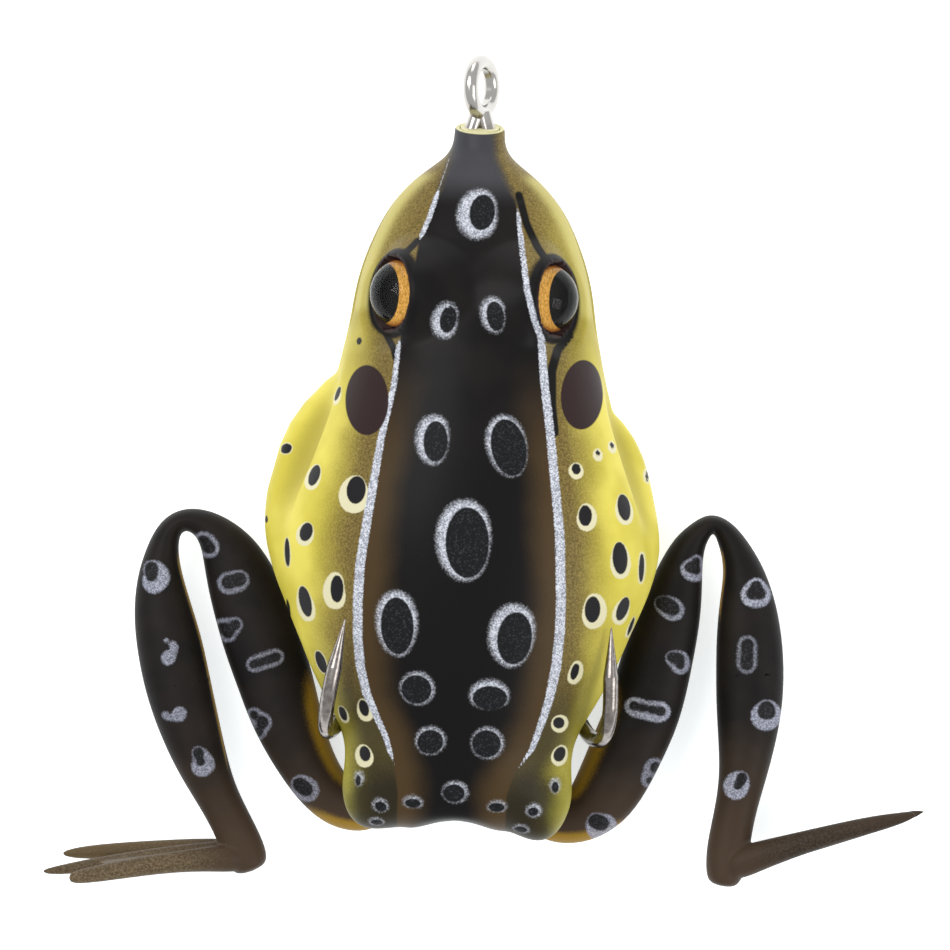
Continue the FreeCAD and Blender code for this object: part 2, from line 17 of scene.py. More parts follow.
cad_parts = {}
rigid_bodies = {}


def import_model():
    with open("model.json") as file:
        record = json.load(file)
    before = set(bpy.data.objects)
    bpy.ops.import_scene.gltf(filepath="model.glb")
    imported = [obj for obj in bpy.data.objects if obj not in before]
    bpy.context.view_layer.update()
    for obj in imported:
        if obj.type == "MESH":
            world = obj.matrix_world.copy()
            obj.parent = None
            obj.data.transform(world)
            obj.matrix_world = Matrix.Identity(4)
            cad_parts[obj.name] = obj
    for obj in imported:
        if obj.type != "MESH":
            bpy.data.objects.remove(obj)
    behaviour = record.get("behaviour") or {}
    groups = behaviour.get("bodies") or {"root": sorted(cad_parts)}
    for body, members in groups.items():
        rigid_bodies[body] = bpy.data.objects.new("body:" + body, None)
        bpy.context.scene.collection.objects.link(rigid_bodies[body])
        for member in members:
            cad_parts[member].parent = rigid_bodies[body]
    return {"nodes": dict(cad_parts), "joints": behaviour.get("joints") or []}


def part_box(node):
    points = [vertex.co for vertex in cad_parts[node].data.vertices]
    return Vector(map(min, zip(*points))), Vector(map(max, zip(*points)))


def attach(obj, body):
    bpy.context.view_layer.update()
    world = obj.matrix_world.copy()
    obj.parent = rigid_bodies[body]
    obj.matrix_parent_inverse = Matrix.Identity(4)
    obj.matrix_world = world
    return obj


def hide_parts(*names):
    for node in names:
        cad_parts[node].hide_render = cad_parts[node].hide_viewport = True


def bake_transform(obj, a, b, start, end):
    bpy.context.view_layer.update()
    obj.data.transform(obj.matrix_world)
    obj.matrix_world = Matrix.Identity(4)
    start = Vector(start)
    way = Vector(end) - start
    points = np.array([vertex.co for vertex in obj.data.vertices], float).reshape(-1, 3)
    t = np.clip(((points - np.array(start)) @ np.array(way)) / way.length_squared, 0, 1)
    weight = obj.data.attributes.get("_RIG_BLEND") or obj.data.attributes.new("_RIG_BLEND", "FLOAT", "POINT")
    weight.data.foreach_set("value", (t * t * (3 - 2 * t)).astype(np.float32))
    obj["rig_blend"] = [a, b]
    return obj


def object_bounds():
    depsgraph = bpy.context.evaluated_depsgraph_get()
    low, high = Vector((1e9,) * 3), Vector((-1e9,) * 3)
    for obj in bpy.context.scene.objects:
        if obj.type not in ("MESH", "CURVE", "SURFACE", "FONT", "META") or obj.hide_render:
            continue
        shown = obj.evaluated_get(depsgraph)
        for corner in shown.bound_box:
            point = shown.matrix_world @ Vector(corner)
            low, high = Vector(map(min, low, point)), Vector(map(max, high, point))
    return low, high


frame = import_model()
cad_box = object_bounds()
MM = 0.001
SIDES = {"left": -1, "right": 1}
joints = {joint["name"]: joint for joint in frame["joints"]}


def joint_mm(name):
    """Where a joint turns, in millimetres."""
    return Vector(joints[name]["pos_m"]) / MM


def box_mm(node):
    low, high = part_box(node)
    return np.array(low) / MM, np.array(high) / MM


# %% [markdown]
# ## Camera, floor and light
#
# The camera looks straight down from 0.6 m with a long lens, so that the lure keeps its outline.
# It is rolled by two degrees, because the lure lies askew. A white table and a white room wrap the
# lure in soft light, and three large lamps give the gloss its highlights.

# %% Camera
VIEW_CENTRE = Vector((0.6, -33.0, -4.0)) * MM
VIEW_DISTANCE = 0.60
VIEW_WIDTH = 81.4 * MM
VIEW_ROLL = math.radians(1.98)

camera_data = bpy.data.cameras.new("camera")
camera_data.sensor_width = 36
camera_data.lens = 36 * VIEW_DISTANCE / VIEW_WIDTH
camera_data.clip_start = 0.01
camera_data.clip_end = 20
camera = bpy.data.objects.new("camera", camera_data)
bpy.context.collection.objects.link(camera)
camera.location = VIEW_CENTRE + Vector((0, 0, VIEW_DISTANCE))
camera.rotation_euler = (0, 0, VIEW_ROLL)
bpy.context.scene.camera = camera

# %% Floor and light
scene = bpy.context.scene
scene.view_settings.view_transform = "Standard"
floor_level = cad_box[0][2]
FLOOR_SIZE = 6      # metres, so that its edge is never in view


set_mode = bpy.ops.object.mode_set


def deselect_all():
    bpy.ops.object.select_all(action="DESELECT")


def pick(*items):
    """Select only these objects, the first one active."""
    deselect_all()
    for item in items:
        item.select_set(True)
    bpy.context.view_layer.objects.active = items[0]


deselect_all()
bpy.ops.mesh.primitive_plane_add(size=FLOOR_SIZE, location=(0, 0, floor_level))
floor = bpy.context.active_object
floor.name = "floor"


def plain_material(name, colour, roughness):
    material = bpy.data.materials.new(name)
    material.use_nodes = True
    shader = material.node_tree.nodes["Principled BSDF"]
    shader.inputs["Base Color"].default_value = (*colour, 1)
    shader.inputs["Roughness"].default_value = roughness
    return material


table_top = plain_material("white_light_table", (0.93, 0.935, 0.94), 0.6)
table_shader = table_top.node_tree.nodes["Principled BSDF"]
table_shader.inputs["Emission Color"].default_value = (0.93, 0.98, 1.0, 1)
table_shader.inputs["Emission Strength"].default_value = 0.6
floor.data.materials.append(table_top)

world = bpy.data.worlds.new("white_room")
scene.world = world
world.use_nodes = True
room = world.node_tree.nodes["Background"]
room.inputs["Color"].default_value = (0.97, 0.985, 1.0, 1)
room.inputs["Strength"].default_value = 0.78


def lamp(name, place, size, power):
    """A square soft lamp at a place in millimetres, aimed at the lure's middle."""
    data = bpy.data.lights.new(name, "AREA")
    data.shape = "SQUARE"
    data.size = size
    data.energy = power
    item = bpy.data.objects.new(name, data)
    bpy.context.collection.objects.link(item)
    item.location = Vector(place) * MM
    direction = (LURE_MIDDLE - Vector(place)).normalized()
    item.rotation_euler = direction.to_track_quat("-Z", "Y").to_euler()


LURE_MIDDLE = Vector((0, -30, 0))
lamp("big_soft_box", (-260, 120, 520), 0.34, 1.5)
lamp("side_soft_box", (420, -160, 380), 0.30, 0.9)
lamp("low_strip", (0, 420, 160), 0.25, 0.4)
print("floor at", round(floor_level / MM, 2), "mm, lamps", len(bpy.data.lights))

# %% [markdown]
# ## Helpers: a loft of circles, and gentle pushes
#
# A soft moulding has no flat faces, so each one starts as circles standing across its bone. They
# are added with the circle primitive, bridged in pairs, capped, and smoothed with a subdivision
# surface. Then the form is shaped as clay is, by pushes that fade with distance.


# %% Loft
def select_verts(mesh, numbers):
    """Select only these vertices, and the edges and faces between them, in edit mode."""
    cage = bmesh.from_edit_mesh(mesh)
    cage.verts.ensure_lookup_table()
    wanted = set(numbers)
    for vert in cage.verts:
        vert.select = vert.index in wanted
    cage.select_flush_mode()
    for edge in cage.edges:
        edge.select = all(vert.select for vert in edge.verts)
    bmesh.update_edit_mesh(mesh)


def loft(name, rings, around):
    """A closed tube through standing rings of (x, y, z, heading, half-width, half-height) in mm."""
    deselect_all()
    bpy.ops.mesh.primitive_circle_add(vertices=around, radius=MM)
    item = bpy.context.active_object
    item.name = name
    set_mode(mode="EDIT")
    bpy.ops.mesh.select_mode(type="VERT")
    bpy.ops.mesh.delete(type="VERT")
    for x, y, z, heading, half_width, half_height in rings:
        centre = Vector((x, y, z)) * MM
        bpy.ops.mesh.primitive_circle_add(vertices=around, radius=half_width * MM, location=centre,
                                          rotation=(math.pi / 2, 0, heading))
        bpy.ops.transform.resize(value=(1, 1, half_height / half_width), center_override=centre)
    for number in range(len(rings) - 1):
        first = number * around
        select_verts(item.data, range(first, first + 2 * around))
        bpy.ops.mesh.bridge_edge_loops()
    for first in (0, (len(rings) - 1) * around):
        select_verts(item.data, range(first, first + around))
        bpy.ops.mesh.edge_face_add()
    bpy.ops.mesh.select_all(action="SELECT")
    bpy.ops.mesh.normals_make_consistent(inside=False)
    set_mode(mode="OBJECT")
    return item


def apply_modifier(item, kind, **settings):
    """Add a modifier, set it and apply it."""
    pick(item)
    modifier = item.modifiers.new(kind.lower(), kind)
    for key, value in settings.items():
        setattr(modifier, key, value)
    bpy.ops.object.modifier_apply(modifier=modifier.name)


def subdivide(item, levels):
    apply_modifier(item, "SUBSURF", levels=levels, render_levels=levels)


def smooth_shade(item):
    pick(item)
    bpy.ops.object.shade_smooth()


# %% Points of a mesh as rows of millimetres
def points_of(item):
    rows = np.empty(len(item.data.vertices) * 3)
    item.data.vertices.foreach_get("co", rows)
    return rows.reshape(-1, 3) / MM


def normals_of(item):
    rows = np.empty(len(item.data.vertices) * 3)
    item.data.vertices.foreach_get("normal", rows)
    return rows.reshape(-1, 3)


def set_points(item, points):
    item.data.vertices.foreach_set("co", (points * MM).ravel())
    item.data.update()


def fade(distance):
    """1 at 0, 0 at 1 and beyond, level at both ends."""
    return np.where(np.abs(distance) < 1, (1 - np.clip(np.abs(distance), 0, 1) ** 2) ** 2, 0)


def ease(low, high, value):
    """0 below low, 1 above high, smooth between."""
    share = np.clip((value - low) / (high - low), 0, 1)
    return share * share * (3 - 2 * share)


def push(points, centre, reach, shift):
    """Move the points near a centre, most at the centre and none at the reach."""
    distance = np.sqrt((((points - np.array(centre)) / np.array(reach)) ** 2).sum(axis=1))
    points += fade(distance)[:, None] * np.array(shift)


def paint(item, name, values):
    """Store one number per point for a material to read."""
    layer = item.data.attributes.new(name, "FLOAT", "POINT")
    layer.data.foreach_set("value", np.asarray(values, dtype=np.float32))


# %% [markdown]
# ## The frog's body
#
# On the real lure this is one thin soft shell. Its section swells from the small round collar to
# the flanks, narrows at the waist, and ends in two lobes that hold the legs. Each row below is one
# section: its place along the lure, half its width, and the heights of its top and bottom.

# %% Body sections
BODY_SECTIONS = [
    (-4.9, 1.55, 1.55, -1.55),
    (-3.75, 1.62, 1.62, -1.62),
    (-3.45, 1.68, 1.68, -1.68),
    (-3.4, 2.05, 2.05, -2.05),
    (-3.6, 2.18, 2.18, -2.18),
    (-4.9, 2.18, 2.2, -2.25),
    (-6.0, 2.8, 2.5, -2.9),
    (-7.0, 4.2, 3.0, -3.9),
    (-8.3, 5.85, 3.75, -5.0),
    (-9.8, 7.15, 4.45, -6.0),
    (-11.4, 8.1, 5.1, -6.9),
    (-13.2, 8.9, 5.7, -7.8),
    (-15.2, 9.65, 6.3, -8.6),
    (-17.4, 10.2, 6.9, -9.5),
    (-19.8, 10.5, 7.45, -10.2),
    (-22.3, 11.0, 7.9, -10.9),
    (-24.7, 11.6, 8.3, -11.4),
    (-27.3, 12.3, 8.6, -11.9),
    (-30.0, 13.2, 8.9, -12.3),
    (-33.0, 14.3, 9.1, -12.5),
    (-36.0, 15.5, 9.2, -12.6),
    (-39.0, 16.1, 9.1, -12.6),
    (-41.6, 15.9, 8.9, -12.5),
    (-44.2, 15.2, 8.6, -12.1),
    (-46.8, 14.2, 8.2, -11.4),
    (-49.5, 13.1, 7.7, -10.5),
    (-52.2, 11.7, 7.1, -9.5),
    (-54.3, 10.4, 6.6, -8.5),
    (-56.2, 9.7, 6.1, -7.5),
    (-58.0, 9.7, 5.7, -6.6),
    (-59.6, 9.9, 5.3, -5.8),
    (-61.1, 9.5, 4.7, -4.9),
    (-62.3, 8.4, 3.8, -3.9),
    (-63.0, 6.4, 2.6, -2.7),
    (-63.3, 3.2, 1.2, -1.3),
]
COLLAR_TILT = math.tan(math.radians(17))

rings = [
    (0, y, (top + bottom) / 2, 0, half, (top - bottom) / 2)
    for y, half, top, bottom in BODY_SECTIONS
]
body = loft("frog_body", rings, 32)
subdivide(body, 3)
print("body points", len(body.data.vertices))

# %% [markdown]
# The subdivided loft is the lump of clay. Now the collar's face is tilted back, the lower flanks
# swell, the mouth line is pressed in, and the eyes get their mounds.

# %% Shape the body
skin = points_of(body)
x, y, z = skin.T
collar_share = 1 - ease(3.9, 6.5, -y)
skin[:, 1] -= z * COLLAR_TILT * collar_share

LOBE_SWELL = {
    "left": [(-24.6, 0), (-25.4, 1.0), (-27.3, 2.3), (-29.0, 2.9), (-31.0, 3.05), (-34.8, 2.55),
        (-37.9, 1.8), (-40.5, 1.1), (-44.0, 0.4), (-48.0, 0)],
    "right": [(-27.2, 0), (-28.2, 0.9), (-29.5, 1.5), (-31.0, 1.75), (-32.6, 1.7), (-35.7, 1.25),
        (-38.9, 0.95), (-42.0, 0.5), (-46.0, 0)],
}


def along(table, place):
    """Value of a short table of (y, value) at each place."""
    rows = np.array(sorted(table))
    return np.interp(place, rows[:, 0], rows[:, 1])


def by_side(table):
    """The left table's value on the left half, the right one's on the right."""
    return np.where(x < 0, along(table["left"], y), along(table["right"], y))


swell = by_side(LOBE_SWELL) * fade((z + 4.4) / 5.4)
crease = fade((y + 31.5) / 9.5) * fade((z + 0.4) / 2.1)
outward = np.stack([np.sign(x), np.zeros_like(x), np.zeros_like(x)], axis=1)
on_side = ease(5, 9, np.abs(x))
skin += outward * ((swell - 0.75 * crease) * on_side)[:, None]


def above_mouth(points):
    """Height above the mouth line, which rises a little towards the corner of the jaw."""
    return points[:, 2] + 0.6 + 0.03 * (points[:, 1] + 8)


mouth = fade(above_mouth(skin) / 0.65) * ease(6.4, 8.5, -y) * (1 - ease(19.0, 21.5, -y))
skin -= outward * (0.42 * mouth * ease(2, 4, np.abs(x)))[:, None]

for sign in (-1, 1):
    push(skin, (sign * 7.2, -61.2, 0.5), (3.4, 3.6, 6), (sign * 0.5, -0.9, 0.3))
    push(skin, (sign * 3.6, -9.5, 4.4), (0.75, 0.6, 1.2), (0, 0, -0.45))
    push(skin, (sign * 4.2, -9.6, 4.3), (1.0, 1.0, 1.2), (0, 0, 0.22))
push(skin, (0, -63.6, 0.5), (4.2, 2.2, 7), (0, 0.9, 0))
push(skin, (7.0, -63.0, 0.5), (3.2, 2.6, 6), (0, -0.55, 0))
push(skin, (-4.3, -15.6, 6.6), (1.5, 2.4, 3.0), (0, 0, 0.45))

# %% [markdown]
# An eye sits on a mound whose top is a flat seat, square to the eye's own axis. Near that axis the
# skin is moved to a set height: a pocket for the lens, a raised rim round it, and a fading slope.

# %% Eye mounds
EYE_LIFT = math.radians(30)
eye_frames = {}
for side, sign in SIDES.items():
    low, high = box_mm(f"{side}_eye_foil")
    axis = np.array([sign * math.cos(EYE_LIFT), 0, math.sin(EYE_LIFT)])
    seat = (low + high) / 2 + axis * 0.78
    eye_frames[side] = (seat, axis)
    offset = skin - seat
    height = offset @ axis
    distance = np.linalg.norm(offset - height[:, None] * axis, axis=1)
    seat_height = np.where(distance < 3.05, -1.0, 0.12 - 0.5 * ease(3.25, 4.0, distance))
    below = offset @ np.array([sign * axis[2], 0, -abs(axis[0])])
    reach = 5.4 - 1.1 * ease(0, 3, below)
    hold = (1 - ease(3.3, reach, distance)) * (height > -6)
    change = hold * (seat_height - height)
    skin += change[:, None] * axis
set_points(body, skin)
smooth_shade(body)

# %% [markdown]
# ## Where the paint goes
#
# The skin is masked and airbrushed: a black back between two silver stripes, spots with silver
# rings, and dark spots with pale haloes on yellow flanks. Each mark is an ellipse on the skin. Each
# point stores its distance to the nearest mark, and the material turns that into crisp or powdery
# edges.

# %% Paint marks
STRIPES = {
    "left": [(-5.2, 2.5), (-6.6, 2.6), (-8.9, 3.3), (-11.4, 4.0), (-13.4, 4.8), (-18.0, 5.4),
        (-22.2, 6.2), (-25.8, 6.5), (-30.2, 7.4), (-34.6, 8.0), (-40.8, 8.8), (-44.0, 8.9),
        (-47.1, 8.8), (-49.5, 8.5), (-51.8, 7.9), (-53.7, 7.0), (-55.1, 6.3), (-57.6, 5.4),
        (-60.0, 5.0)],
    "right": [(-3.6, 1.3), (-6.0, 1.5), (-7.8, 2.3), (-9.6, 3.3), (-13.0, 3.8), (-17.2, 4.4),
        (-19.7, 5.1), (-21.4, 5.8), (-25.3, 6.2), (-28.5, 6.7), (-34.7, 7.5), (-37.8, 7.9),
        (-43.3, 8.2), (-46.1, 8.2), (-48.9, 8.0), (-51.8, 7.5), (-53.9, 6.9), (-56.0, 6.2),
        (-58.1, 4.8), (-60.0, 4.2)],
}
STRIPE_WIDTH = {
    "left": [(-8.8, 0.1), (-9.6, 0.3), (-12.8, 0.3), (-13.6, 0.0), (-21.4, 0.0), (-22.4, 0.28),
        (-27.0, 0.34), (-34.0, 0.44), (-43.0, 0.5), (-52.0, 0.46), (-56.6, 0.3), (-58.0, 0)],
    "right": [(-9.8, 0.0), (-11.2, 0.26), (-14.0, 0.34), (-20.0, 0.36), (-23.0, 0.42),
        (-32.0, 0.46), (-43.0, 0.5), (-50.0, 0.5), (-56.0, 0.34), (-58.4, 0)],
}
# Back spots: x, y, half-width, half-length, tilt, ring thickness, and the ring's thick side.
BACK_SPOTS = [
    (0.45, -10.8, 1.1, 1.6, -6, 1.2, (-0.75, -0.25)),
    (-2.1, -20.0, 0.72, 1.19, -10, 0.8, (-0.8, -0.15)),
    (1.85, -19.6, 0.76, 1.3, 10, 0.62, (-0.8, 0.35)),
    (-2.8, -30.3, 1.05, 1.75, 0, 0.8, (-0.8, 0.35)),
    (3.35, -30.6, 1.5, 2.45, 14, 0.52, (-0.75, 0.45)),
    (0.15, -38.7, 1.85, 3.0, 2, 0.95, (-0.75, 0.4)),
    (-5.5, -45.9, 1.42, 2.45, 4, 0.78, (-0.15, 0.5)),
    (4.4, -46.6, 1.5, 2.25, -4, 0.95, (-0.6, 0.5)),
    (-3.7, -51.2, 1.32, 1.25, 0, 0.48, (0.35, 0.45)),
    (2.5, -51.7, 1.5, 1.05, 0, 0.52, (-0.2, 1.4)),
    (-2.4, -55.6, 1.15, 1.05, 25, 0.46, (0.1, 0.6)),
    (2.35, -55.6, 1.25, 1.2, -20, 0.46, (0.4, 0.3)),
    (-0.25, -59.9, 0.95, 0.8, 0, 0.44, (0.5, 0.5)),
    (-3.7, -60.9, 0.72, 0.42, 0, 0.4, (0.0, 0.7)),
    (3.4, -61.0, 0.72, 0.42, 0, 0.34, (0.2, 0.7)),
    (-6.4, -61.3, 0.55, 0.46, -20, 0.42, (-0.2, 0.5)),
    (6.5, -61.3, 0.5, 0.42, 0, 0.5, (0.2, 0.5)),
    (-6.7, -62.7, 0.55, 0.3, 0, 0.34, (-0.2, 0.5)),
    (5.5, -62.9, 0.6, 0.34, 0, 0.34, (0.2, 0.5)),
    (-8.4, -59.2, 0.26, 0.5, 0, 0.44, (0.4, 0.6)),
    (8.3, -59.2, 0.36, 0.5, 0, 0.48, (0.0, 0.6)),
]
# Flank spots: x, y, half-width, half-length, tilt, halo thickness, and the halo's thick side.
FLANK_SPOTS = [
    (-11.3, -26.5, 0.24, 0.66, -20, 0.26, (-0.5, -0.9)),
    (-15.6, -31.3, 0.59, 0.46, 10, 0.12, (0, 0)),
    (-13.0, -33.5, 0.52, 0.95, -18, 0.34, (-0.6, -0.7)),
    (-13.5, -38.3, 0.6, 0.84, -20, 0.36, (-0.5, -0.9)),
    (-9.35, -34.6, 0.85, 1.2, -4, 0.66, (-0.6, -1.1)),
    (-17.1, -37.4, 0.22, 0.34, 0, 0.0, (0, 0)),
    (-15.1, -40.1, 0.26, 1.25, 4, 0.1, (0, 0)),
    (-13.4, -44.2, 0.56, 1.36, 14, 0.34, (-0.2, -1.0)),
    (-10.7, -43.0, 0.58, 1.2, 0, 0.6, (-0.9, -0.5)),
    (-14.9, -44.9, 0.18, 0.85, 8, 0.0, (0, 0)),
    (-11.9, -49.3, 0.46, 1.02, 22, 0.1, (0, 0)),
    (-9.9, -53.6, 0.36, 0.68, 20, 0.2, (0.3, -0.8)),
    (-8.1, -53.0, 0.44, 0.76, 16, 0.4, (0.4, -0.8)),
    (-7.9, -56.9, 0.52, 0.68, 14, 0.5, (-0.4, -0.8)),
    (-9.6, -22.0, 0.3, 0.34, 0, 0.0, (0, 0)),
    (9.1, -32.2, 0.44, 0.5, 0, 0.36, (0, -0.9)),
    (10.9, -30.8, 0.24, 0.34, 0, 0.36, (0, -0.8)),
    (12.1, -30.1, 0.24, 0.34, 0, 0.36, (0, -0.8)),
    (15.3, -32.6, 0.17, 0.5, 0, 0.24, (-0.6, 0)),
    (10.0, -36.1, 0.6, 0.92, 0, 0.44, (0.7, -0.6)),
    (13.3, -35.3, 0.6, 1.16, 10, 0.32, (0, -1.0)),
    (13.1, -39.6, 0.68, 1.4, 6, 0.34, (0.3, -1.0)),
    (15.0, -40.4, 0.26, 1.25, 0, 0.2, (0.6, 0)),
    (10.9, -44.0, 0.7, 1.15, 0, 0.6, (0.7, -0.5)),
    (13.5, -43.9, 0.52, 1.08, -20, 0.3, (-0.6, -0.9)),
    (14.3, -45.4, 0.18, 0.85, -18, 0.18, (0, -0.6)),
    (9.6, -49.3, 0.36, 0.76, -14, 0.44, (0.5, -0.4)),
    (8.4, -53.7, 0.58, 0.5, -30, 0.44, (0.5, -0.4)),
    (8.6, -56.4, 0.58, 0.68, -30, 0.4, (0.3, -0.6)),
]
EAR_DISCS = [(-8.75, -27.0, 1.95, 3.05, 4), (9.45, -25.9, 1.95, 3.05, -4)]


def ellipse_distance(points, centre, radii, tilt):
    """Signed distance from an ellipsoid on the skin, and the way out from its centre."""
    turn = math.radians(tilt)
    offset = points - np.array(centre)
    across = offset[:, 0] * math.cos(turn) + offset[:, 1] * math.sin(turn)
    lengthwise = offset[:, 1] * math.cos(turn) - offset[:, 0] * math.sin(turn)
    rows = np.stack([across, lengthwise, offset[:, 2]], axis=1)
    near = np.linalg.norm(rows / np.array(radii), axis=1)
    slope = np.linalg.norm(rows / np.array(radii) ** 2, axis=1) + 1e-9
    way = offset[:, :2] / (np.linalg.norm(offset[:, :2], axis=1)[:, None] + 1e-9)
    return near * (near - 1) / slope, way


def on_top(points, normals, x_place, y_place):
    """The height of the upper skin at a place."""
    squared = (points[:, 0] - x_place) ** 2 + (points[:, 1] - y_place) ** 2
    return points[np.argmin(squared + (normals[:, 2] < 0.02) * 100), 2]


def marks(points, normals, spots, deep):
    """Distance into the nearest spot, and into the nearest ring, both positive inside."""
    inside = np.full(len(points), -9.0)
    ring = np.full(len(points), -9.0)
    for x_place, y_place, half_width, half_length, tilt, band, thick_side in spots:
        level = on_top(points, normals, x_place, y_place)
        depth = max(half_width, half_length) * deep
        away, way = ellipse_distance(points, (x_place, y_place, level),
                                     (half_width, half_length, depth), tilt)
        inside = np.maximum(inside, -away)
        thickness = band * np.clip(0.62 + 0.5 * (way @ np.array(thick_side)), 0.05, 1.3)
        ring = np.maximum(ring, np.where(band > 0, thickness - away, -9.0))
    return inside, ring


# %% Measure the paint on the body
normals = normals_of(body)
skin = points_of(body)
x, y, z = skin.T
paint(body, "collar_face", ease(0.45, 0.8, normals[:, 1]) * (y > -4.6))
stripe_half = by_side(STRIPE_WIDTH)
lateral = np.abs(x) - by_side(STRIPES)
upper = ease(-0.5, 1.5, z)
paint(body, "lateral", lateral)
paint(body, "back_edge", lateral * (1 - 0.8 * ease(-11.5, -9.0, y)))
in_stripe = np.where(stripe_half > 0.01, stripe_half - np.abs(lateral), -2)
paint(body, "stripe", in_stripe - 3 * (1 - upper))
back_in, back_ring = marks(skin, normals, BACK_SPOTS, 1.6)
flank_in, flank_ring = marks(skin, normals, FLANK_SPOTS, 2.2)
paint(body, "back_spot", back_in)
paint(body, "back_ring", back_ring)
paint(body, "flank_spot", flank_in)
paint(body, "flank_halo", flank_ring)
ear = np.full(len(skin), -9.0)
for x_place, y_place, half_width, half_length, tilt in EAR_DISCS:
    centre = (x_place, y_place, on_top(skin, normals, x_place, y_place))
    away, way = ellipse_distance(skin, centre, (half_width, half_length, 9.0), tilt)
    ear = np.maximum(ear, -away)
paint(body, "ear", ear)
eye_distance = np.full(len(skin), 9.0)
for seat, axis in eye_frames.values():
    offset = skin - seat
    height = offset @ axis
    eye_distance = np.minimum(eye_distance, np.linalg.norm(offset - height[:, None] * axis, axis=1)
                              + 9 * (height < -3.5))
paint(body, "eye_distance", eye_distance)


# %% Dark lines round the eyes, and the mouth
def line_distance(points, line):
    """Distance in plan from a line of (x, y) places."""
    nearest = np.full(len(points), 99.0)
    for start, end in zip(line, line[1:]):
        start, end = np.array(start), np.array(end)
        run = end - start
        offset = points[:, :2] - start
        share = np.clip((offset @ run) / (run @ run), 0, 1)
        nearest = np.minimum(nearest, np.linalg.norm(offset - share[:, None] * run, axis=1))
    return nearest


OUTLINES = [
    ([(3.5, -9.2), (4.2, -11.6), (5.2, -13.6), (5.9, -14.6)], 0.34),
    ([(8.2, -20.9), (7.2, -22.2), (6.75, -24.0), (6.85, -27.0), (7.15, -29.2)], 0.4),
    ([(-4.9, -13.4), (-5.8, -14.4), (-6.6, -14.6)], 0.3),
    ([(-7.3, -21.4), (-6.6, -22.6), (-6.4, -23.4)], 0.3),
]
outline = np.full(len(skin), 9.0)
for line, half in OUTLINES:
    outline = np.minimum(outline, line_distance(skin, line) - half)
paint(body, "outline", np.where(z > 0, -outline, -2))
mouth_height = above_mouth(skin)
on_jaw = ease(6.8, 8.2, -y) * (1 - ease(18.5, 20.5, -y))
paint(body, "mouth", np.where(on_jaw > 0.02, 0.30 * on_jaw - np.abs(mouth_height + 0.05), -2))
paint(body, "lip", on_jaw * fade((mouth_height - 1.6) / 2.0))
paint(body, "flank_shade", fade((y + 31.5) / 9.5) * fade((z + 0.4) / 2.2) * on_side)
print("paint layers", [layer.name for layer in body.data.attributes if layer.domain == "POINT"])
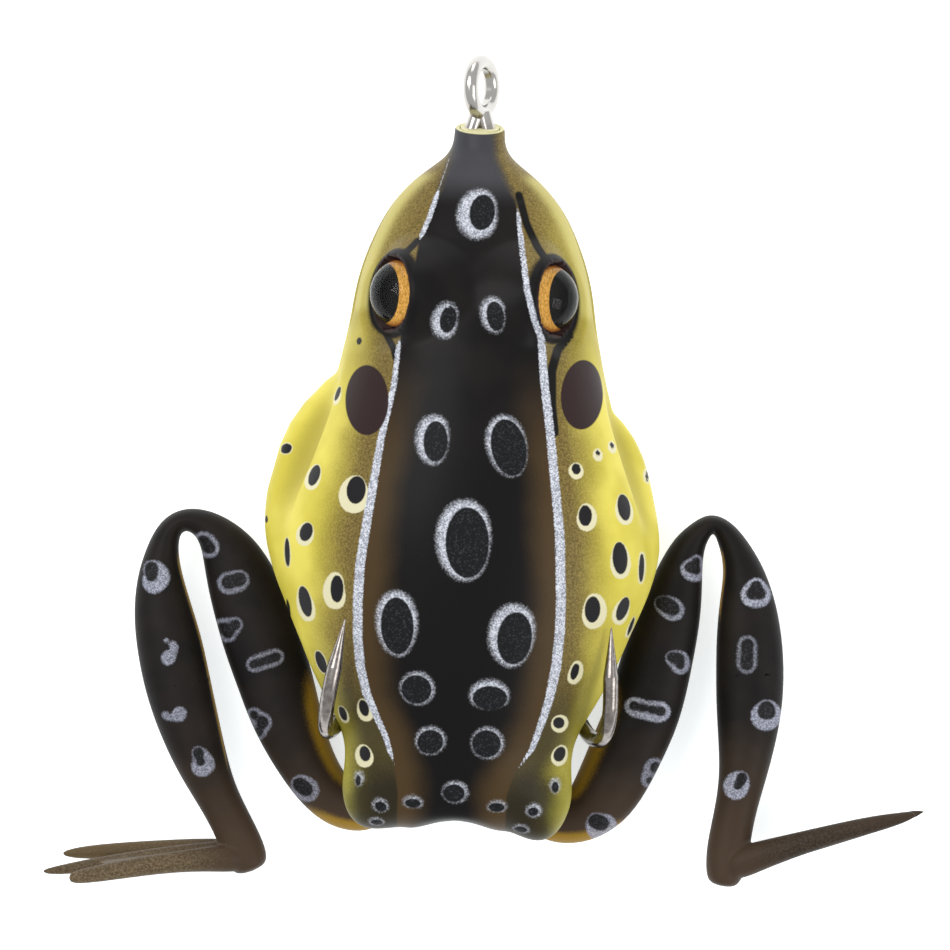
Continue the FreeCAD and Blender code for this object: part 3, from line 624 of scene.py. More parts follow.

# %% [markdown]
# ## The painted skin
#
# The material starts from the vinyl's base coats and lays each mask over them, in the order of a
# paint shop: yellow flanks, olive fade, black back, silver, spots. Airbrushed edges are broken up
# with fine noise, and the silver holds bright grains. Two layers stand for light rather than paint:
# painted shade in the flank's crease, and a painted highlight on the snout.


# %% Node helpers
class Paintbox:
    """A material whose nodes are added one by one, left to right."""

    def __init__(self, name):
        self.material = bpy.data.materials.new(name)
        self.material.use_nodes = True
        self.tree = self.material.node_tree
        self.shader = self.tree.nodes["Principled BSDF"]
        self.coords = self.tree.nodes.new("ShaderNodeTexCoord").outputs["Object"]

    def feed(self, socket, value):
        if isinstance(value, bpy.types.NodeSocket):
            self.tree.links.new(value, socket)
        elif isinstance(value, str):
            socket.default_value = (*srgb(value), 1)
        else:
            socket.default_value = value

    def layer(self, name):
        node = self.tree.nodes.new("ShaderNodeAttribute")
        node.attribute_name = name
        return node.outputs["Fac"]

    def noise(self, size_mm, detail=2.0, roughness=0.5):
        """Noise whose grains are about this large."""
        node = self.tree.nodes.new("ShaderNodeTexNoise")
        node.inputs["Scale"].default_value = 1 / (size_mm * MM)
        node.inputs["Detail"].default_value = detail
        node.inputs["Roughness"].default_value = roughness
        self.tree.links.new(self.coords, node.inputs["Vector"])
        return node.outputs["Fac"]

    def grains(self, size_mm):
        """A random level for each small cell."""
        node = self.tree.nodes.new("ShaderNodeTexVoronoi")
        node.inputs["Scale"].default_value = 1 / (size_mm * MM)
        self.tree.links.new(self.coords, node.inputs["Vector"])
        split = self.tree.nodes.new("ShaderNodeSeparateColor")
        self.tree.links.new(node.outputs["Color"], split.inputs["Color"])
        return split.outputs["Red"]

    def sum(self, first, second, factor=1.0):
        """first + second * factor."""
        node = self.tree.nodes.new("ShaderNodeMath")
        node.operation = "MULTIPLY_ADD"
        self.feed(node.inputs[0], second)
        node.inputs[1].default_value = factor
        self.feed(node.inputs[2], first)
        return node.outputs[0]

    def times(self, first, second):
        node = self.tree.nodes.new("ShaderNodeMath")
        node.operation = "MULTIPLY"
        self.feed(node.inputs[0], first)
        self.feed(node.inputs[1], second)
        return node.outputs[0]

    def step(self, value, low, high, start=0.0, end=1.0):
        """start below low, end above high, eased between."""
        node = self.tree.nodes.new("ShaderNodeMapRange")
        node.interpolation_type = "SMOOTHSTEP"
        self.feed(node.inputs["Value"], value)
        node.inputs["From Min"].default_value = low
        node.inputs["From Max"].default_value = high
        node.inputs["To Min"].default_value = start
        node.inputs["To Max"].default_value = end
        return node.outputs["Result"]

    def edge(self, layer, low, high, grit=None, share=0.0):
        """A stored distance turned into a mask, its edge broken up by a grit."""
        value = self.layer(layer) if grit is None else self.sum(self.layer(layer), grit, share)
        return self.step(value, low, high)

    def mix(self, share, below, above):
        node = self.tree.nodes.new("ShaderNodeMix")
        node.data_type = "RGBA"
        self.feed(node.inputs[0], share)
        self.feed(node.inputs[6], below)
        self.feed(node.inputs[7], above)
        return node.outputs[2]

    def axis(self, letter):
        node = self.tree.nodes.new("ShaderNodeSeparateXYZ")
        self.tree.links.new(self.coords, node.inputs[0])
        return node.outputs[letter]

    def bump(self, height, distance_mm, strength=1.0, under=None):
        node = self.tree.nodes.new("ShaderNodeBump")
        node.inputs["Distance"].default_value = distance_mm * MM
        node.inputs["Strength"].default_value = strength
        self.feed(node.inputs["Height"], height)
        if under is not None:
            self.tree.links.new(under, node.inputs["Normal"])
        return node.outputs["Normal"]

    def finish(self, **sockets):
        for name, value in sockets.items():
            self.feed(self.shader.inputs[name.replace("_", " ")], value)
        return self.material


def srgb(code):
    """A linear colour from a six-digit paint code."""
    values = [int(code[i:i + 2], 16) / 255 for i in (0, 2, 4)]
    return tuple(v / 12.92 if v <= 0.04045 else ((v + 0.055) / 1.055) ** 2.4 for v in values)


# %% Skin paint
def skin_paint():
    box = Paintbox("painted_vinyl")
    speck = box.noise(0.16, 3.0, 0.65)
    cloud = box.noise(5.0, 2.0)
    lateral = box.layer("lateral")
    soft_lateral = box.sum(box.sum(lateral, speck, 0.7), cloud, 1.6)
    yellow = box.mix(box.step(cloud, 0.35, 0.7), "c6b845", "d8ca58")
    olive = box.mix(box.step(speck, 0.35, 0.7), "5c4d28", "857340")
    flank = box.mix(box.step(soft_lateral, 2.0, 6.4), olive, yellow)
    head = box.step(box.sum(box.axis("Y"), speck, 0.006), -0.024, -0.014)
    flank = box.mix(box.times(head, 0.55), flank, olive)
    rear = box.step(box.axis("Y"), -0.046, -0.055)
    rear_tone = box.mix(box.step(soft_lateral, 2.6, 5.8), "3f381f", "b0a53f")
    flank = box.mix(box.times(rear, 0.92), flank, rear_tone)
    tail = box.step(box.sum(box.sum(box.axis("Y"), speck, 0.002), cloud, 0.004), -0.0535, -0.0575)
    tail_tone = box.mix(box.step(soft_lateral, 4.2, 7.0), "262116", "9c9438")
    flank = box.mix(box.times(tail, 0.92), flank, tail_tone)
    shade = box.step(box.sum(box.layer("flank_shade"), speck, 0.3), 0.3, 1.1, 0.0, 0.6)
    flank = box.mix(shade, flank, "97893c")
    flank = box.mix(box.step(box.axis("Z"), -0.0085, -0.0115), flank, "efe9b4")
    flank = box.mix(box.step(box.layer("lip"), 0.1, 1.0, 0.0, 0.55), flank, "cfc477")
    halo = box.edge("flank_halo", 0.02, 0.16, speck, 0.16)
    flank = box.mix(halo, flank, "d3cda9")
    back = box.mix(box.step(soft_lateral, -2.4, 0.6), "0f0d0d", "45351f")
    mid_body = box.step(box.axis("Y"), -0.022, -0.034)
    neck = box.mix(box.step(cloud, 0.3, 0.75), "0f0d0d", "1b1716")
    on_back = box.edge("back_edge", 0.15, -0.09, speck, 0.06)
    colour = box.mix(on_back, flank, box.mix(mid_body, neck, back))
    # Painted highlight: a grey sheen painted over the black snout top, where the gloss catches light.
    snout_sheen = box.times(box.step(box.axis("Y"), -0.0105, -0.0075), on_back)
    colour = box.mix(box.times(snout_sheen, 0.5), colour, "55555a")
    colour = box.mix(box.edge("outline", 0.0, 0.18, speck, 0.15), colour, "141312")
    colour = box.mix(box.edge("eye_distance", 3.95, 3.7), colour, "121010")
    colour = box.mix(box.edge("eye_distance", 3.45, 3.2), colour, "2a1817")
    grain = box.grains(0.11)
    silver_edge = box.sum(speck, grain, 0.4)
    ring = box.edge("back_ring", 0.14, 0.80, silver_edge, 0.30)
    stripe = box.edge("stripe", 0.12, 0.26, silver_edge, 0.14)
    silver = box.mix(box.step(grain, 0.1, 0.95), "8d909a", "d2d5dd")
    colour = box.mix(box.times(ring, 0.94), colour, silver)
    colour = box.mix(stripe, colour, silver)
    spot_dark = box.mix(box.step(grain, 0.72, 0.95), "151618", "2e2f33")
    colour = box.mix(box.edge("back_spot", 0.0, 0.16, speck, 0.12), colour, spot_dark)
    colour = box.mix(box.edge("flank_spot", 0.0, 0.13, speck, 0.10), colour, "1d1c1e")
    colour = box.mix(box.edge("ear", 0.0, 0.14), colour, "2e2020")
    colour = box.mix(box.edge("mouth", 0.0, 0.12), colour, "211d16")
    colour = box.mix(box.layer("collar_face"), colour, "cfca9a")
    rough = box.step(box.sum(ring, stripe), 0.2, 0.8, 0.42, 0.55)
    fine = box.bump(box.noise(0.35, 3.0), 0.03, 0.35)
    flakes = box.bump(box.times(box.sum(ring, stripe), grain), 0.05, 0.5, fine)
    return box.finish(Base_Color=colour, Roughness=rough, Normal=flakes, Specular_IOR_Level=0.10,
                      Coat_Weight=0.02, Coat_Roughness=0.2)


body.data.materials.clear()
body.data.materials.append(skin_paint())
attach(body, "lure_body")
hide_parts("body_shell")

# %% [markdown]
# ## Eyes
#
# Each eye is a printed gold iris under a clear epoxy dome. The iris is a shallow dish, so that the
# gold catches the light on one side; the dome is a slice of a ball.


# %% Eye pieces
IRIS_RADIUS, IRIS_SUNK, IRIS_THICK = 3.0, 0.55, 0.12
LENS_RADIUS, LENS_HEIGHT, LENS_SUNK = 3.02, 2.6, 0.85
PUPIL = (1.4, 1.5, 2.0)     # how far out its middle is, its half-width and its half-length


def stand_on_axis(item, seat, axis, depth):
    """Turn +Z to the eye's axis, and apply the place to the mesh."""
    turn = Vector(axis).to_track_quat("Z", "Y").to_matrix().to_4x4()
    place = Vector(np.array(seat) - np.array(axis) * depth) * MM
    item.data.transform(Matrix.Translation(place) @ turn)
    item.data.update()


def make_iris(side, seat, axis):
    deselect_all()
    bpy.ops.mesh.primitive_circle_add(vertices=64, radius=IRIS_RADIUS * MM, fill_type="NGON")
    iris = bpy.context.active_object
    iris.name = f"{side}_iris"
    set_mode(mode="EDIT")
    bpy.ops.mesh.select_all(action="SELECT")
    for fall in (0.02, 0.03, 0.035, 0.03, 0.02, 0.01):
        bpy.ops.mesh.inset(thickness=0.28 * MM, depth=-fall * MM)
    set_mode(mode="OBJECT")
    subdivide(iris, 2)
    apply_modifier(iris, "SOLIDIFY", thickness=IRIS_THICK * MM, offset=-1)
    stand_on_axis(iris, seat, axis, IRIS_SUNK)
    offset = points_of(iris) - seat
    outward = np.array([axis[2] * np.sign(axis[0]), 0, -abs(axis[0])])
    paint(iris, "outward", offset @ outward)
    paint(iris, "forward", offset[:, 1])
    smooth_shade(iris)
    return iris


def iris_paint(side):
    """Gold foil round a black drop, inside a dark printed edge."""
    box = Paintbox(f"{side}_iris_print")
    outward, forward = box.layer("outward"), box.layer("forward")

    def oval(shift, half_width, half_length):
        across = box.sum(-shift / half_width, outward, 1 / half_width)
        lengthwise = box.sum(0.0, forward, 1 / half_length)
        return box.sum(box.times(across, across), box.times(lengthwise, lengthwise))

    streaks = box.noise(0.22, 3.0, 0.6)
    gold = box.mix(box.step(streaks, 0.3, 0.7), "a3701f", "dda850")
    edge = oval(0.1, 2.8, 2.55)
    gold = box.mix(box.step(edge, 0.55, 0.95), gold, "8a4c14")
    colour = box.mix(box.step(edge, 0.92, 1.02), gold, "1a1010")
    colour = box.mix(box.step(oval(*PUPIL), 1.06, 0.94), colour, "060505")
    return box.finish(Base_Color=colour, Metallic=0.25, Roughness=0.4, Specular_IOR_Level=0.02)


def make_lens(side, seat, axis):
    deselect_all()
    ball = (LENS_RADIUS ** 2 + LENS_HEIGHT ** 2) / (2 * LENS_HEIGHT)
    bpy.ops.mesh.primitive_uv_sphere_add(segments=64, ring_count=48, radius=ball * MM,
                                         location=(0, 0, (LENS_HEIGHT - ball) * MM))
    lens = bpy.context.active_object
    lens.name = f"{side}_eye_lens"
    bpy.ops.object.transform_apply(location=True, rotation=True, scale=True)
    set_mode(mode="EDIT")
    bpy.ops.mesh.select_all(action="SELECT")
    bpy.ops.mesh.bisect(plane_co=(0, 0, 0), plane_no=(0, 0, 1), clear_inner=True, use_fill=True)
    bpy.ops.mesh.select_all(action="SELECT")
    bpy.ops.mesh.normals_make_consistent(inside=False)
    set_mode(mode="OBJECT")
    stand_on_axis(lens, seat, axis, LENS_SUNK)
    bpy.ops.object.shade_smooth_by_angle(angle=math.radians(40))
    return lens


for side, (seat, axis) in eye_frames.items():
    iris = make_iris(side, seat, axis)
    iris.data.materials.append(iris_paint(side))
    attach(iris, "lure_body")
    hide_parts(f"{side}_eye_foil")
    lens = make_lens(side, seat, axis)
    clear = Paintbox(f"{side}_clear_epoxy")
    lens.data.materials.append(clear.finish(Base_Color=(0.98, 0.97, 0.95, 1), Roughness=0.02,
                                            Transmission_Weight=1.0, IOR=1.2))
    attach(lens, "lure_body")
    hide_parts(f"{side}_eye_dome")
    print(side, "eye at", seat.round(2))

# %% [markdown]
# ## Legs
#
# On the real lure each leg is one soft moulding, folded like a hairpin: it leaves the tail lobe,
# runs to the knee, turns round a narrow slot, and comes back to the heel. Rubber bends instead of
# turning on a pin, so the skin must stretch across each joint. A leg is therefore two meshes that
# meet at mid-shin. The upper one follows the thigh and the shin, the lower one the shin and foot.

# %% Leg outlines
# Places along and across each bone, in millimetres from its joint, with half the leg's width there.
THIGH_RIBS = {
    "left": [(-1.6, 0.6, 1.5), (-0.9, 2.2, 1.9), (0.6, 3.3, 2.2), (2.6, 3.8, 2.3), (5.0, 3.7, 2.5),
        (7.5, 3.3, 2.8), (10.1, 2.6, 3.15), (12.7, 1.7, 3.3), (15.9, 0.75, 3.4), (19.0, -0.3, 3.35),
        (21.7, -1.0, 3.0), (24.0, -1.5, 2.5), (26.0, -1.5, 1.75), (27.6, -1.0, 1.2)],
    "right": [(-1.6, 0.8, 1.6), (-1.2, 2.6, 2.0), (0.2, 4.2, 2.4), (2.4, 4.9, 2.9), (5.0, 4.8, 3.1),
        (7.8, 4.4, 3.2), (10.5, 4.0, 3.25), (13.0, 3.3, 3.2), (15.6, 2.4, 3.1), (18.3, 1.6, 2.85),
        (20.8, 0.8, 2.45), (23.2, -0.05, 1.9), (25.2, -0.5, 1.4), (26.5, -0.35, 1.05)],
}
SHIN_RIBS = {
    "left": [(-0.9, -0.5, 1.0), (-0.4, -1.8, 1.05), (1.4, -2.8, 1.4), (3.8, -3.45, 2.05),
        (6.7, -3.7, 2.6), (9.7, -3.65, 2.9), (13.1, -3.6, 2.9), (16.4, -3.3, 2.7),
        (19.9, -2.8, 2.3), (22.8, -2.1, 1.85), (25.3, -1.3, 1.75), (27.4, -0.75, 1.85),
        (29.0, -0.4, 1.8), (30.1, -0.2, 1.35)],
    "right": [(-0.2, -0.2, 0.9), (0.4, -1.2, 0.95), (2.0, -2.1, 1.25), (3.9, -2.75, 1.7),
        (5.9, -3.0, 2.25), (8.9, -3.1, 2.8), (12.5, -3.1, 3.0), (16.1, -2.9, 2.9),
        (19.6, -2.5, 2.4), (22.2, -2.05, 2.0), (24.7, -1.4, 1.8), (27.2, -0.8, 1.85),
        (28.9, -0.5, 1.85), (30.4, -0.2, 1.6), (31.3, 0.0, 1.1)],
}
# Degrees outward from straight ahead: thigh, shin, foot.
LEG_ANGLES = {"left": (37.5, 192.5, 96.2), "right": (30.5, 176.0, 72.8)}
CUT_AT = 13.1       # where the two meshes of a leg meet, along the shin
SKIN_GRAIN = 0.16   # the remesh's voxel
THIGH_HEIGHT, KNEE_HEIGHT, SHIN_HEIGHT, HEEL_HEIGHT = 2.15, 1.6, 2.15, 1.65
# Toes: places along, across and above the foot's middle, with the toe's radius there.
TOES = {
    "left": [
        [(0.2, -0.3, 0.5, 1.35), (3.2, -0.5, 1.1, 1.15), (6.5, -0.5, 1.8, 0.92),
         (10, -0.3, 2.3, 0.84),
         (13, -0.05, 2.6, 0.78), (15.0, 0.15, 2.75, 0.62), (15.8, 0.2, 2.8, 0.38)],
        [(0.2, -0.7, 0, 1.35), (6.5, -1.05, 0, 0.85), (12, -0.75, 0, 0.72), (15.5, -0.5, 0, 0.55),
         (17.4, -0.42, -0.1, 0.34), (18.2, -0.4, -0.1, 0.16)],
        [(0.2, -0.8, -0.6, 1.3), (6.5, -1.45, -1.8, 0.85), (12, -1.6, -2.7, 0.75),
         (15.2, -1.65, -3.0, 0.55), (16.6, -1.67, -3.1, 0.22)],
    ],
    "right": [
        [(0.0, 0.5, 0.5, 1.6), (3.2, 0.25, 1.1, 1.3), (6.5, 0.1, 1.8, 1.05), (10, 0.05, 2.3, 0.88),
         (13, 0.1, 2.6, 0.78), (15.6, 0.2, 2.75, 0.58), (17.3, 0.25, 2.8, 0.24)],
        [(0.2, 0.2, 0, 1.35), (6.5, 0.3, 0, 0.95), (12, 0.3, 0, 0.8), (15.8, 0.35, 0, 0.55),
         (18.2, 0.35, 0, 0.16)],
        [(0.2, 0.2, -0.6, 1.3), (6.5, 0.4, -1.8, 0.9), (12, 0.45, -2.7, 0.75),
         (15.0, 0.5, -3.0, 0.5), (16.4, 0.5, -3.1, 0.22)],
    ],
}
WEBS = {
    "left": [(1.0, -0.6, 0.9, 1.9), (6.5, -1.0, 0.34, 2.3), (10.5, -0.9, 0.24, 2.7),
        (13.4, -0.8, 0.2, 2.75)],
    "right": [(1.0, 0.1, 0.9, 1.9), (6.5, 0.2, 0.34, 2.3), (11.0, 0.25, 0.24, 2.7),
        (14.2, 0.3, 0.2, 2.75)],
}


def bone_axes(side, bone):
    """Unit vectors along the bone and towards the side that it opens to."""
    sign = SIDES[side]
    angle = math.radians(LEG_ANGLES[side][bone])
    along_bone = Vector((sign * math.sin(angle), math.cos(angle), 0))
    across_bone = Vector((along_bone.y * sign, -along_bone.x * sign, 0))
    return along_bone, across_bone


def on_bone(side, bone, u, v):
    """A place given along and across a bone, in the lure's own frame."""
    joint = joint_mm(f"{side}_{('hip', 'knee', 'ankle')[bone]}")
    along_bone, across_bone = bone_axes(side, bone)
    return joint + along_bone * u + across_bone * v


def headed(rows):
    """Add to each (place, half-width, half-height) the heading that squares it to its path."""
    places = [row[0] for row in rows]
    rings = []
    for number, (place, half_width, half_height) in enumerate(rows):
        run = places[min(number + 1, len(rows) - 1)] - places[max(number - 1, 0)]
        heading = math.atan2(run.y, run.x) - math.pi / 2
        rings.append((place.x, place.y, place.z, heading, half_width, half_height))
    return rings


def leg_height(bone, u, length):
    """Half the leg's height: full in the flesh, less at the knee and heel."""
    ends = (THIGH_HEIGHT, KNEE_HEIGHT) if bone == 0 else (KNEE_HEIGHT, HEEL_HEIGHT)
    middle = THIGH_HEIGHT if bone == 0 else SHIN_HEIGHT
    share = min(max(u / length, 0), 1)
    start = middle if bone == 0 else ends[0] + (middle - ends[0]) * float(ease(0, 0.3, share))
    return float(start + (ends[1] - middle) * ease(0.62, 1.0, share))


def join(items, name):
    pick(*items)
    bpy.ops.object.join()
    items[0].name = name
    return items[0]


def weld_skin(item):
    """Grow one skin over overlapping pieces, then relax it."""
    apply_modifier(item, "REMESH", mode="VOXEL", voxel_size=SKIN_GRAIN * MM,
                   use_smooth_shade=True)
    apply_modifier(item, "SMOOTH", factor=0.5, iterations=3)


def make_leg(side):
    """One skin from the hip's peg to the toes."""
    hip, knee, ankle = (joint_mm(f"{side}_{name}") for name in ("hip", "knee", "ankle"))
    thigh, shin = (knee - hip).length, (ankle - knee).length
    rows = [(on_bone(side, 0, u, v), half, min(leg_height(0, u, thigh), half * 1.5))
            for u, v, half in THIGH_RIBS[side]]
    rows += [(on_bone(side, 1, u, v), half, leg_height(1, u, shin))
             for u, v, half in SHIN_RIBS[side]]
    flesh = loft(f"{side}_flesh", headed(rows), 24)
    subdivide(flesh, 2)
    pieces = [flesh]
    for radius, depth, lift in ((2.3, 3.9, 0.0), (1.3, 6.0, 3.0)):
        deselect_all()
        bpy.ops.mesh.primitive_cylinder_add(vertices=48, radius=radius * MM, depth=depth * MM,
                                            location=(hip + Vector((0, 0, lift))) * MM)
        post = bpy.context.active_object
        bpy.ops.object.transform_apply(location=True, rotation=True, scale=True)
        apply_modifier(post, "BEVEL", width=0.5 * MM, segments=3)
        pieces.append(post)
    for number, toe in enumerate(TOES[side]):
        rows = [(on_bone(side, 2, u, v) + Vector((0, 0, rise)), radius, radius)
                for u, v, rise, radius in toe]
        pieces.append(loft(f"{side}_toe_{number}", headed(rows), 16))
        subdivide(pieces[-1], 2)
    rows = [(on_bone(side, 2, u, v), half, height) for u, v, half, height in WEBS[side]]
    pieces.append(loft(f"{side}_web", headed(rows), 24))
    subdivide(pieces[-1], 1)
    leg = join(pieces, f"{side}_leg")
    weld_skin(leg)
    return leg


def half_leg(whole, name, side, keep_hip):
    """A copy of the leg's skin, cut square through the shin, without what lies past the cut."""
    item = whole.copy()
    item.data = whole.data.copy()
    item.name = name
    bpy.context.collection.objects.link(item)
    down, across = (np.array(axis) for axis in bone_axes(side, 1))
    offset = points_of(item) - np.array(joint_mm(f"{side}_knee"))
    near_shin = (offset @ across < 0.25) & (np.abs(offset @ down - CUT_AT) < 3)
    pick(item)
    set_mode(mode="EDIT")
    bpy.ops.mesh.select_mode(type="VERT")
    select_verts(item.data, np.nonzero(near_shin)[0].tolist())
    sign = 1 if keep_hip else -1
    bpy.ops.mesh.bisect(plane_co=on_bone(side, 1, CUT_AT, 0) * MM,
                        plane_no=Vector(down) * sign, clear_outer=True, use_fill=True)
    set_mode(mode="OBJECT")
    lost_end = np.array(joint_mm(f"{side}_{'ankle' if keep_hip else 'hip'}"))
    seed = int(np.argmin(np.linalg.norm(points_of(item) - lost_end, axis=1)))
    set_mode(mode="EDIT")
    bpy.ops.mesh.select_all(action="DESELECT")
    cage = bmesh.from_edit_mesh(item.data)
    cage.verts.ensure_lookup_table()
    cage.verts[seed].select = True
    cage.select_flush_mode()
    bmesh.update_edit_mesh(item.data)
    bpy.ops.mesh.select_linked()
    bpy.ops.mesh.delete(type="VERT")
    set_mode(mode="OBJECT")
    bpy.ops.object.shade_smooth_by_angle(angle=math.radians(50))
    return item


# %% [markdown]
# The legs carry pale blotches with soft rims. Each blotch is a few overlapping discs: one for a
# round spot, two for a bean, three for a triangle. The distance to the nearest disc gives the dark
# inside, and a band outside it gives the rim, wider on one side as the airbrush left it.

# %% Leg blotches
# Place; then discs (dx, dy, radius); then rim width, its thick side, and how bright it is.
BLOTCHES = {
    "left": [
        ((-22.3, -39.9), [(-0.3, 0.3, 0.62), (0.35, -0.2, 0.48)], 0.42, (0.0, 0.0), 0.65),
        ((-19.8, -42.8), [(-0.5, -0.15, 0.62), (0.5, 0.15, 0.62)], 0.38, (-0.1, -0.3), 0.6),
        ((-20.1, -46.9), [(-0.6, 0.0, 0.48), (0.6, 0.35, 0.45), (0.0, -0.5, 0.4)],
         0.36, (-0.3, -0.1), 0.6),
        ((-16.9, -49.6), [(-1.0, -0.35, 0.36), (-0.35, -0.1, 0.3), (0.35, 0.15, 0.3),
                          (1.0, 0.4, 0.4)], 0.34, (0, 0), 0.6),
        ((-17.3, -55.0), [(-0.45, 0.75, 0.36), (0.45, 0.15, 0.5), (0.0, -0.8, 0.42)], 0.34, (0, 0),
         0.6),
        ((-13.3, -60.3), [(-0.3, 0.2, 0.6), (0.35, -0.25, 0.6)], 0.42, (0.4, -0.2), 0.62),
        ((-26.8, -42.6), [(-0.15, 0.65, 0.6), (-0.1, -0.1, 0.45)], 0.62, (0.7, -0.75), 0.95),
        ((-25.2, -48.9), [(-0.3, 0.8, -0.1), (0.35, 0.4, -0.1), (-0.1, -0.7, -0.1)],
         0.62, (0.2, -0.4), 0.8),
        ((-24.7, -54.4), [(-0.6, -0.1, -0.05), (0.55, 0.1, -0.05)], 0.66, (0.3, -0.2), 0.7),
        ((-22.2, -58.4), [(-0.15, 0.75, 0.5), (0.1, -0.1, 0.35)], 0.55, (0.5, -0.8), 0.72),
    ],
    "right": [
        ((19.6, -40.2), [(-0.35, -0.1, 0.4), (0.35, -0.35, 0.35), (0.3, 0.5, 0.3)],
         0.42, (0.1, -0.5), 0.9),
        ((17.6, -43.7), [(-0.65, 0.3, 0.5), (0.0, 0.05, 0.6), (0.5, -0.3, 0.45)],
         0.30, (0.5, -0.5), 0.8),
        ((18.5, -48.3), [(-0.5, 0.25, 0.42), (0.2, 0.15, 0.42), (0.35, -0.5, 0.3)],
         0.32, (0.4, -0.4), 0.85),
        ((16.1, -52.5), [(-1.2, 0.15, 0.42), (-0.4, 0.0, 0.3), (0.4, -0.1, 0.3),
                         (1.2, -0.25, 0.45)], 0.46, (0.0, -0.3), 1.0),
        ((16.9, -58.2), [(0.1, 0.6, 0.5), (-0.35, -0.6, 0.35)], 0.38, (-0.5, 0.2), 0.6),
        ((12.3, -62.7), [(-0.35, 0.35, 0.62), (0.3, 0.1, 0.6)], 0.55, (0.4, -0.8), 0.85),
        ((25.1, -42.1), [(-0.42, -0.3, 0.45), (0.42, -0.3, 0.45), (0.0, 0.45, 0.42)],
         0.48, (0.0, -0.4), 0.95),
        ((24.5, -47.6), [(0.0, 0.85, 0.55), (0.0, 0.0, 0.42), (0.0, -0.85, 0.58)], 0.34, (0, 0),
         0.5),
        ((26.2, -52.5), [(0.15, 0.4, 0.55), (-0.1, -0.05, 0.45), (0.45, -0.1, 0.4)],
         0.56, (0.0, -0.75), 0.9),
        ((24.2, -58.5), [(0.25, 0.3, 0.5), (-0.1, -0.45, 0.35)], 0.55, (-0.5, -0.6), 0.95),
    ],
}
MERGE = 0.32    # how far neighbouring discs of a blotch flow together


# %% Paint the legs
def paint_leg(item, side):
    """Store the blotches, the way down the leg, and a painted glow where light shines through."""
    knee, shin = np.array(joint_mm(f"{side}_knee")), np.array(bone_axes(side, 1))
    points = points_of(item)
    facing = normals_of(item)
    inside = np.full(len(points), -9.0)
    rim = np.full(len(points), -9.0)
    glow = np.zeros(len(points))
    for place, discs, band, thick_side, bright in BLOTCHES[side]:
        offset = points[:, :2] - np.array(place)
        discs_away = [np.linalg.norm(offset - np.array([right, ahead]), axis=1) - radius
                      for right, ahead, radius in discs]
        away = -MERGE * np.log(np.sum([np.exp(-d / MERGE) for d in discs_away], axis=0))
        way = offset / (np.linalg.norm(offset, axis=1)[:, None] + 1e-9)
        width = band * np.clip(1.0 + way @ np.array(thick_side), 0.25, 1.8)
        away = away + 9 * (facing[:, 2] < -0.1)
        glow = np.where(width - away > rim, bright, glow)
        rim = np.maximum(rim, width - away)
        inside = np.maximum(inside, -away)
    paint(item, "blotch", inside)
    paint(item, "rim", rim)
    paint(item, "bright", glow)
    down, out_of_shin = ((points - knee) @ shin.T).T
    out_foot = (points - np.array(joint_mm(f"{side}_ankle"))) @ np.array(bone_axes(side, 2)[0])
    paint(item, "down_shin", down)
    paint(item, "foot_share", ease(0.5, 8.0, out_foot) * ease(24.0, 28.5, down))
    hip = np.array(joint_mm(f"{side}_hip"))
    from_hip = (points - hip) @ np.array(bone_axes(side, 0)[0])
    # Painted glow of light through thin rubber, at the thigh's inner root and the knee slot.
    inward, backward = -SIDES[side] * facing[:, 0], -facing[:, 1]
    inner_root = np.maximum(ease(0.1, 0.85, inward) * (1 - ease(8, 14, from_hip)),
                            ease(0.2, 0.9, backward) * (1 - ease(0, 4, from_hip)))
    inner_root *= item.name.endswith("upper_leg")
    slot_side = ease(0.8, 1.0, facing @ shin[1]) * ease(1.0, 3.0, down) * (out_of_shin < -0.6)
    paint(item, "amber_glow", np.maximum(inner_root, slot_side * 0.8))


def leg_paint(side):
    box = Paintbox(f"{side}_leg_rubber")
    speck = box.noise(0.18, 3.0, 0.6)
    cloud = box.noise(4.0, 2.0)
    base = box.mix(box.step(cloud, 0.3, 0.75), "121010", "1e1917")
    lower = box.step(box.sum(box.layer("down_shin"), cloud, 5.0), 18.0, 31.0)
    colour = box.mix(lower, base, "413327")
    dark_toe, light_toe = ("4c3f2b", "75664f") if side == "left" else ("28221c", "453a2f")
    tan = box.mix(box.step(speck, 0.35, 0.7), dark_toe, light_toe)
    colour = box.mix(box.layer("foot_share"), colour, tan)
    underside = box.step(box.axis("Z"), -0.0075, -0.0105)
    colour = box.mix(box.times(underside, 0.45), colour, "6b5a3a")
    # Painted glow: amber light through the thin rubber edges.
    colour = box.mix(box.edge("amber_glow", 0.35, 0.95, speck, 0.35), colour, "8f6f1e")
    grain = box.grains(0.10)
    rim = box.edge("rim", 0.16, 0.42, speck, 0.30)
    silver = box.mix(box.step(grain, 0.1, 0.95), "6f717e", "a9abba")
    colour = box.mix(box.times(rim, box.layer("bright")), colour, silver)
    inside = box.mix(box.step(grain, 0.7, 0.95), "191819", "34343a")
    colour = box.mix(box.edge("blotch", 0.02, 0.24, speck, 0.16), colour, inside)
    fine = box.bump(box.noise(0.4, 3.0), 0.03, 0.35)
    return box.finish(Base_Color=colour, Roughness=0.5, Normal=fine, Specular_IOR_Level=0.12)


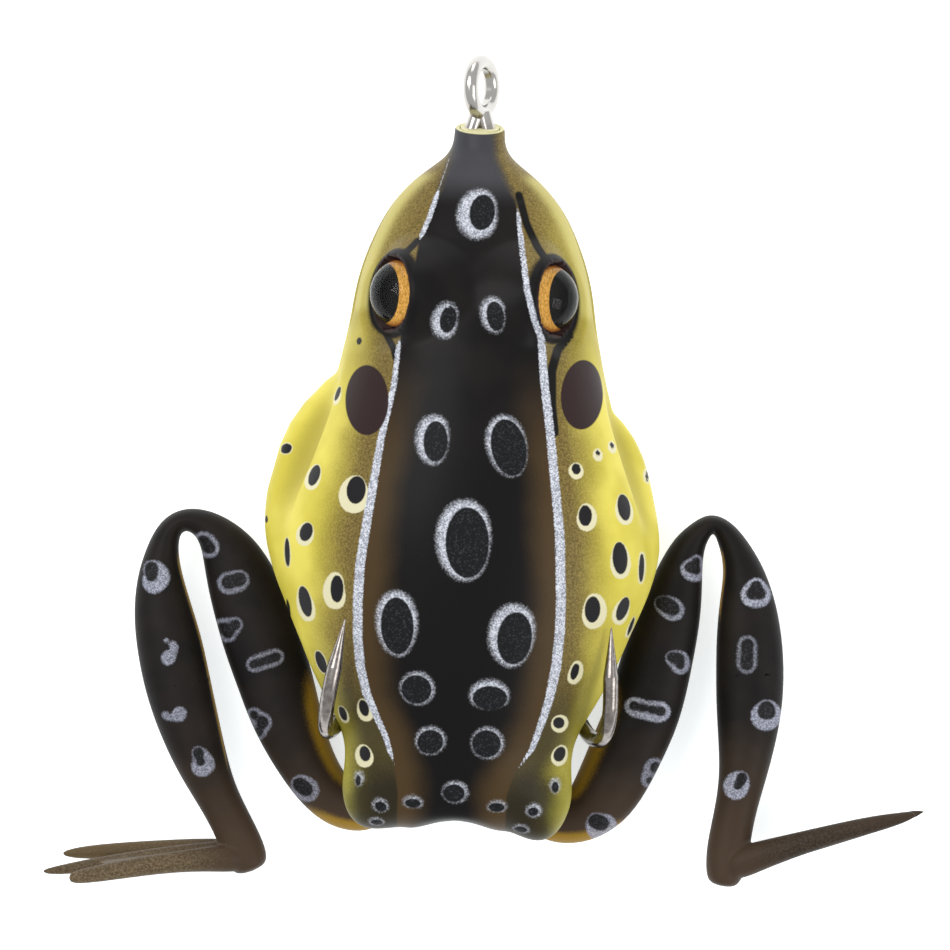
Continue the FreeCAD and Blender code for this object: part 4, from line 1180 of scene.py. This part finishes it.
# %% Build both legs
# Across the shin from the knee: where the thigh's flesh ends, and where the shin's begins.
KNEE_SLOT = {"left": (0.40, -0.65), "right": (0.60, -0.05)}
HEEL_HALF = 1.2     # half the length over which the heel bends
for side in SIDES:
    rubber = leg_paint(side)
    shin_axis, foot_axis = bone_axes(side, 1)[0], bone_axes(side, 2)[0]
    whole = make_leg(side)
    upper = half_leg(whole, f"{side}_upper_leg", side, True)
    lower = half_leg(whole, f"{side}_lower_leg", side, False)
    bpy.data.objects.remove(whole)
    for leg in (upper, lower):
        paint_leg(leg, side)
        leg.data.materials.clear()
        leg.data.materials.append(rubber)
    knee = joint_mm(f"{side}_knee")
    ankle = joint_mm(f"{side}_ankle")
    slot_way = bone_axes(side, 1)[1]
    thigh_edge, shin_edge = (knee + slot_way * place for place in KNEE_SLOT[side])
    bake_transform(upper, f"{side}_thigh", f"{side}_shin",
             start=tuple(thigh_edge * MM), end=tuple(shin_edge * MM))
    round_heel = (foot_axis + shin_axis).normalized() * HEEL_HALF
    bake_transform(lower, f"{side}_shin", f"{side}_foot",
             start=tuple((ankle - round_heel) * MM), end=tuple((ankle + round_heel) * MM))
    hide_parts(f"{side}_thigh", f"{side}_shin")
    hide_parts(f"{side}_foot")
    print(side, "leg faces", len(upper.data.polygons), len(lower.data.polygons))

# %% [markdown]
# ## Hook, plug and weight
#
# The hook is plated wire: the CAD tube is already smooth, so it keeps its shape and gets a dark
# nickel finish. The plug in the collar is cast rubber and the keel is brass.


# %% Finishes for the hard parts
def plated_wire():
    box = Paintbox("black_nickel")
    streak = box.noise(0.5, 3.0, 0.6)
    plate = box.mix(box.step(streak, 0.3, 0.7), "77706c", "98918c")
    bright = box.step(box.axis("Y"), -0.0045, -0.0025)
    plate = box.mix(bright, plate, "b9b5b0")
    return box.finish(Base_Color=plate, Metallic=1.0, Roughness=0.2,
                      Normal=box.bump(box.noise(0.3, 2.0), 0.01, 0.3))


def cast_rubber():
    box = Paintbox("cast_rubber")
    tone = box.mix(box.noise(0.6, 2.0), "c9c290", "e2ddb4")
    return box.finish(Base_Color=tone, Roughness=0.6,
                      Normal=box.bump(box.noise(0.3, 3.0), 0.04, 0.6))


def cast_brass():
    box = Paintbox("cast_brass")
    tone = box.mix(box.noise(1.2, 3.0), "8a6a2c", "b8934a")
    return box.finish(Base_Color=tone, Metallic=1.0, Roughness=0.38,
                      Normal=box.bump(box.noise(0.5, 3.0), 0.03, 0.5))


finishes = {"double_hook": plated_wire(), "nose_plug": cast_rubber(), "keel_weight": cast_brass()}
for node_name, finish in finishes.items():
    node = frame["nodes"][node_name]
    for slot in node.material_slots:
        slot.material = finish
    print(node_name, "slots", len(node.material_slots))
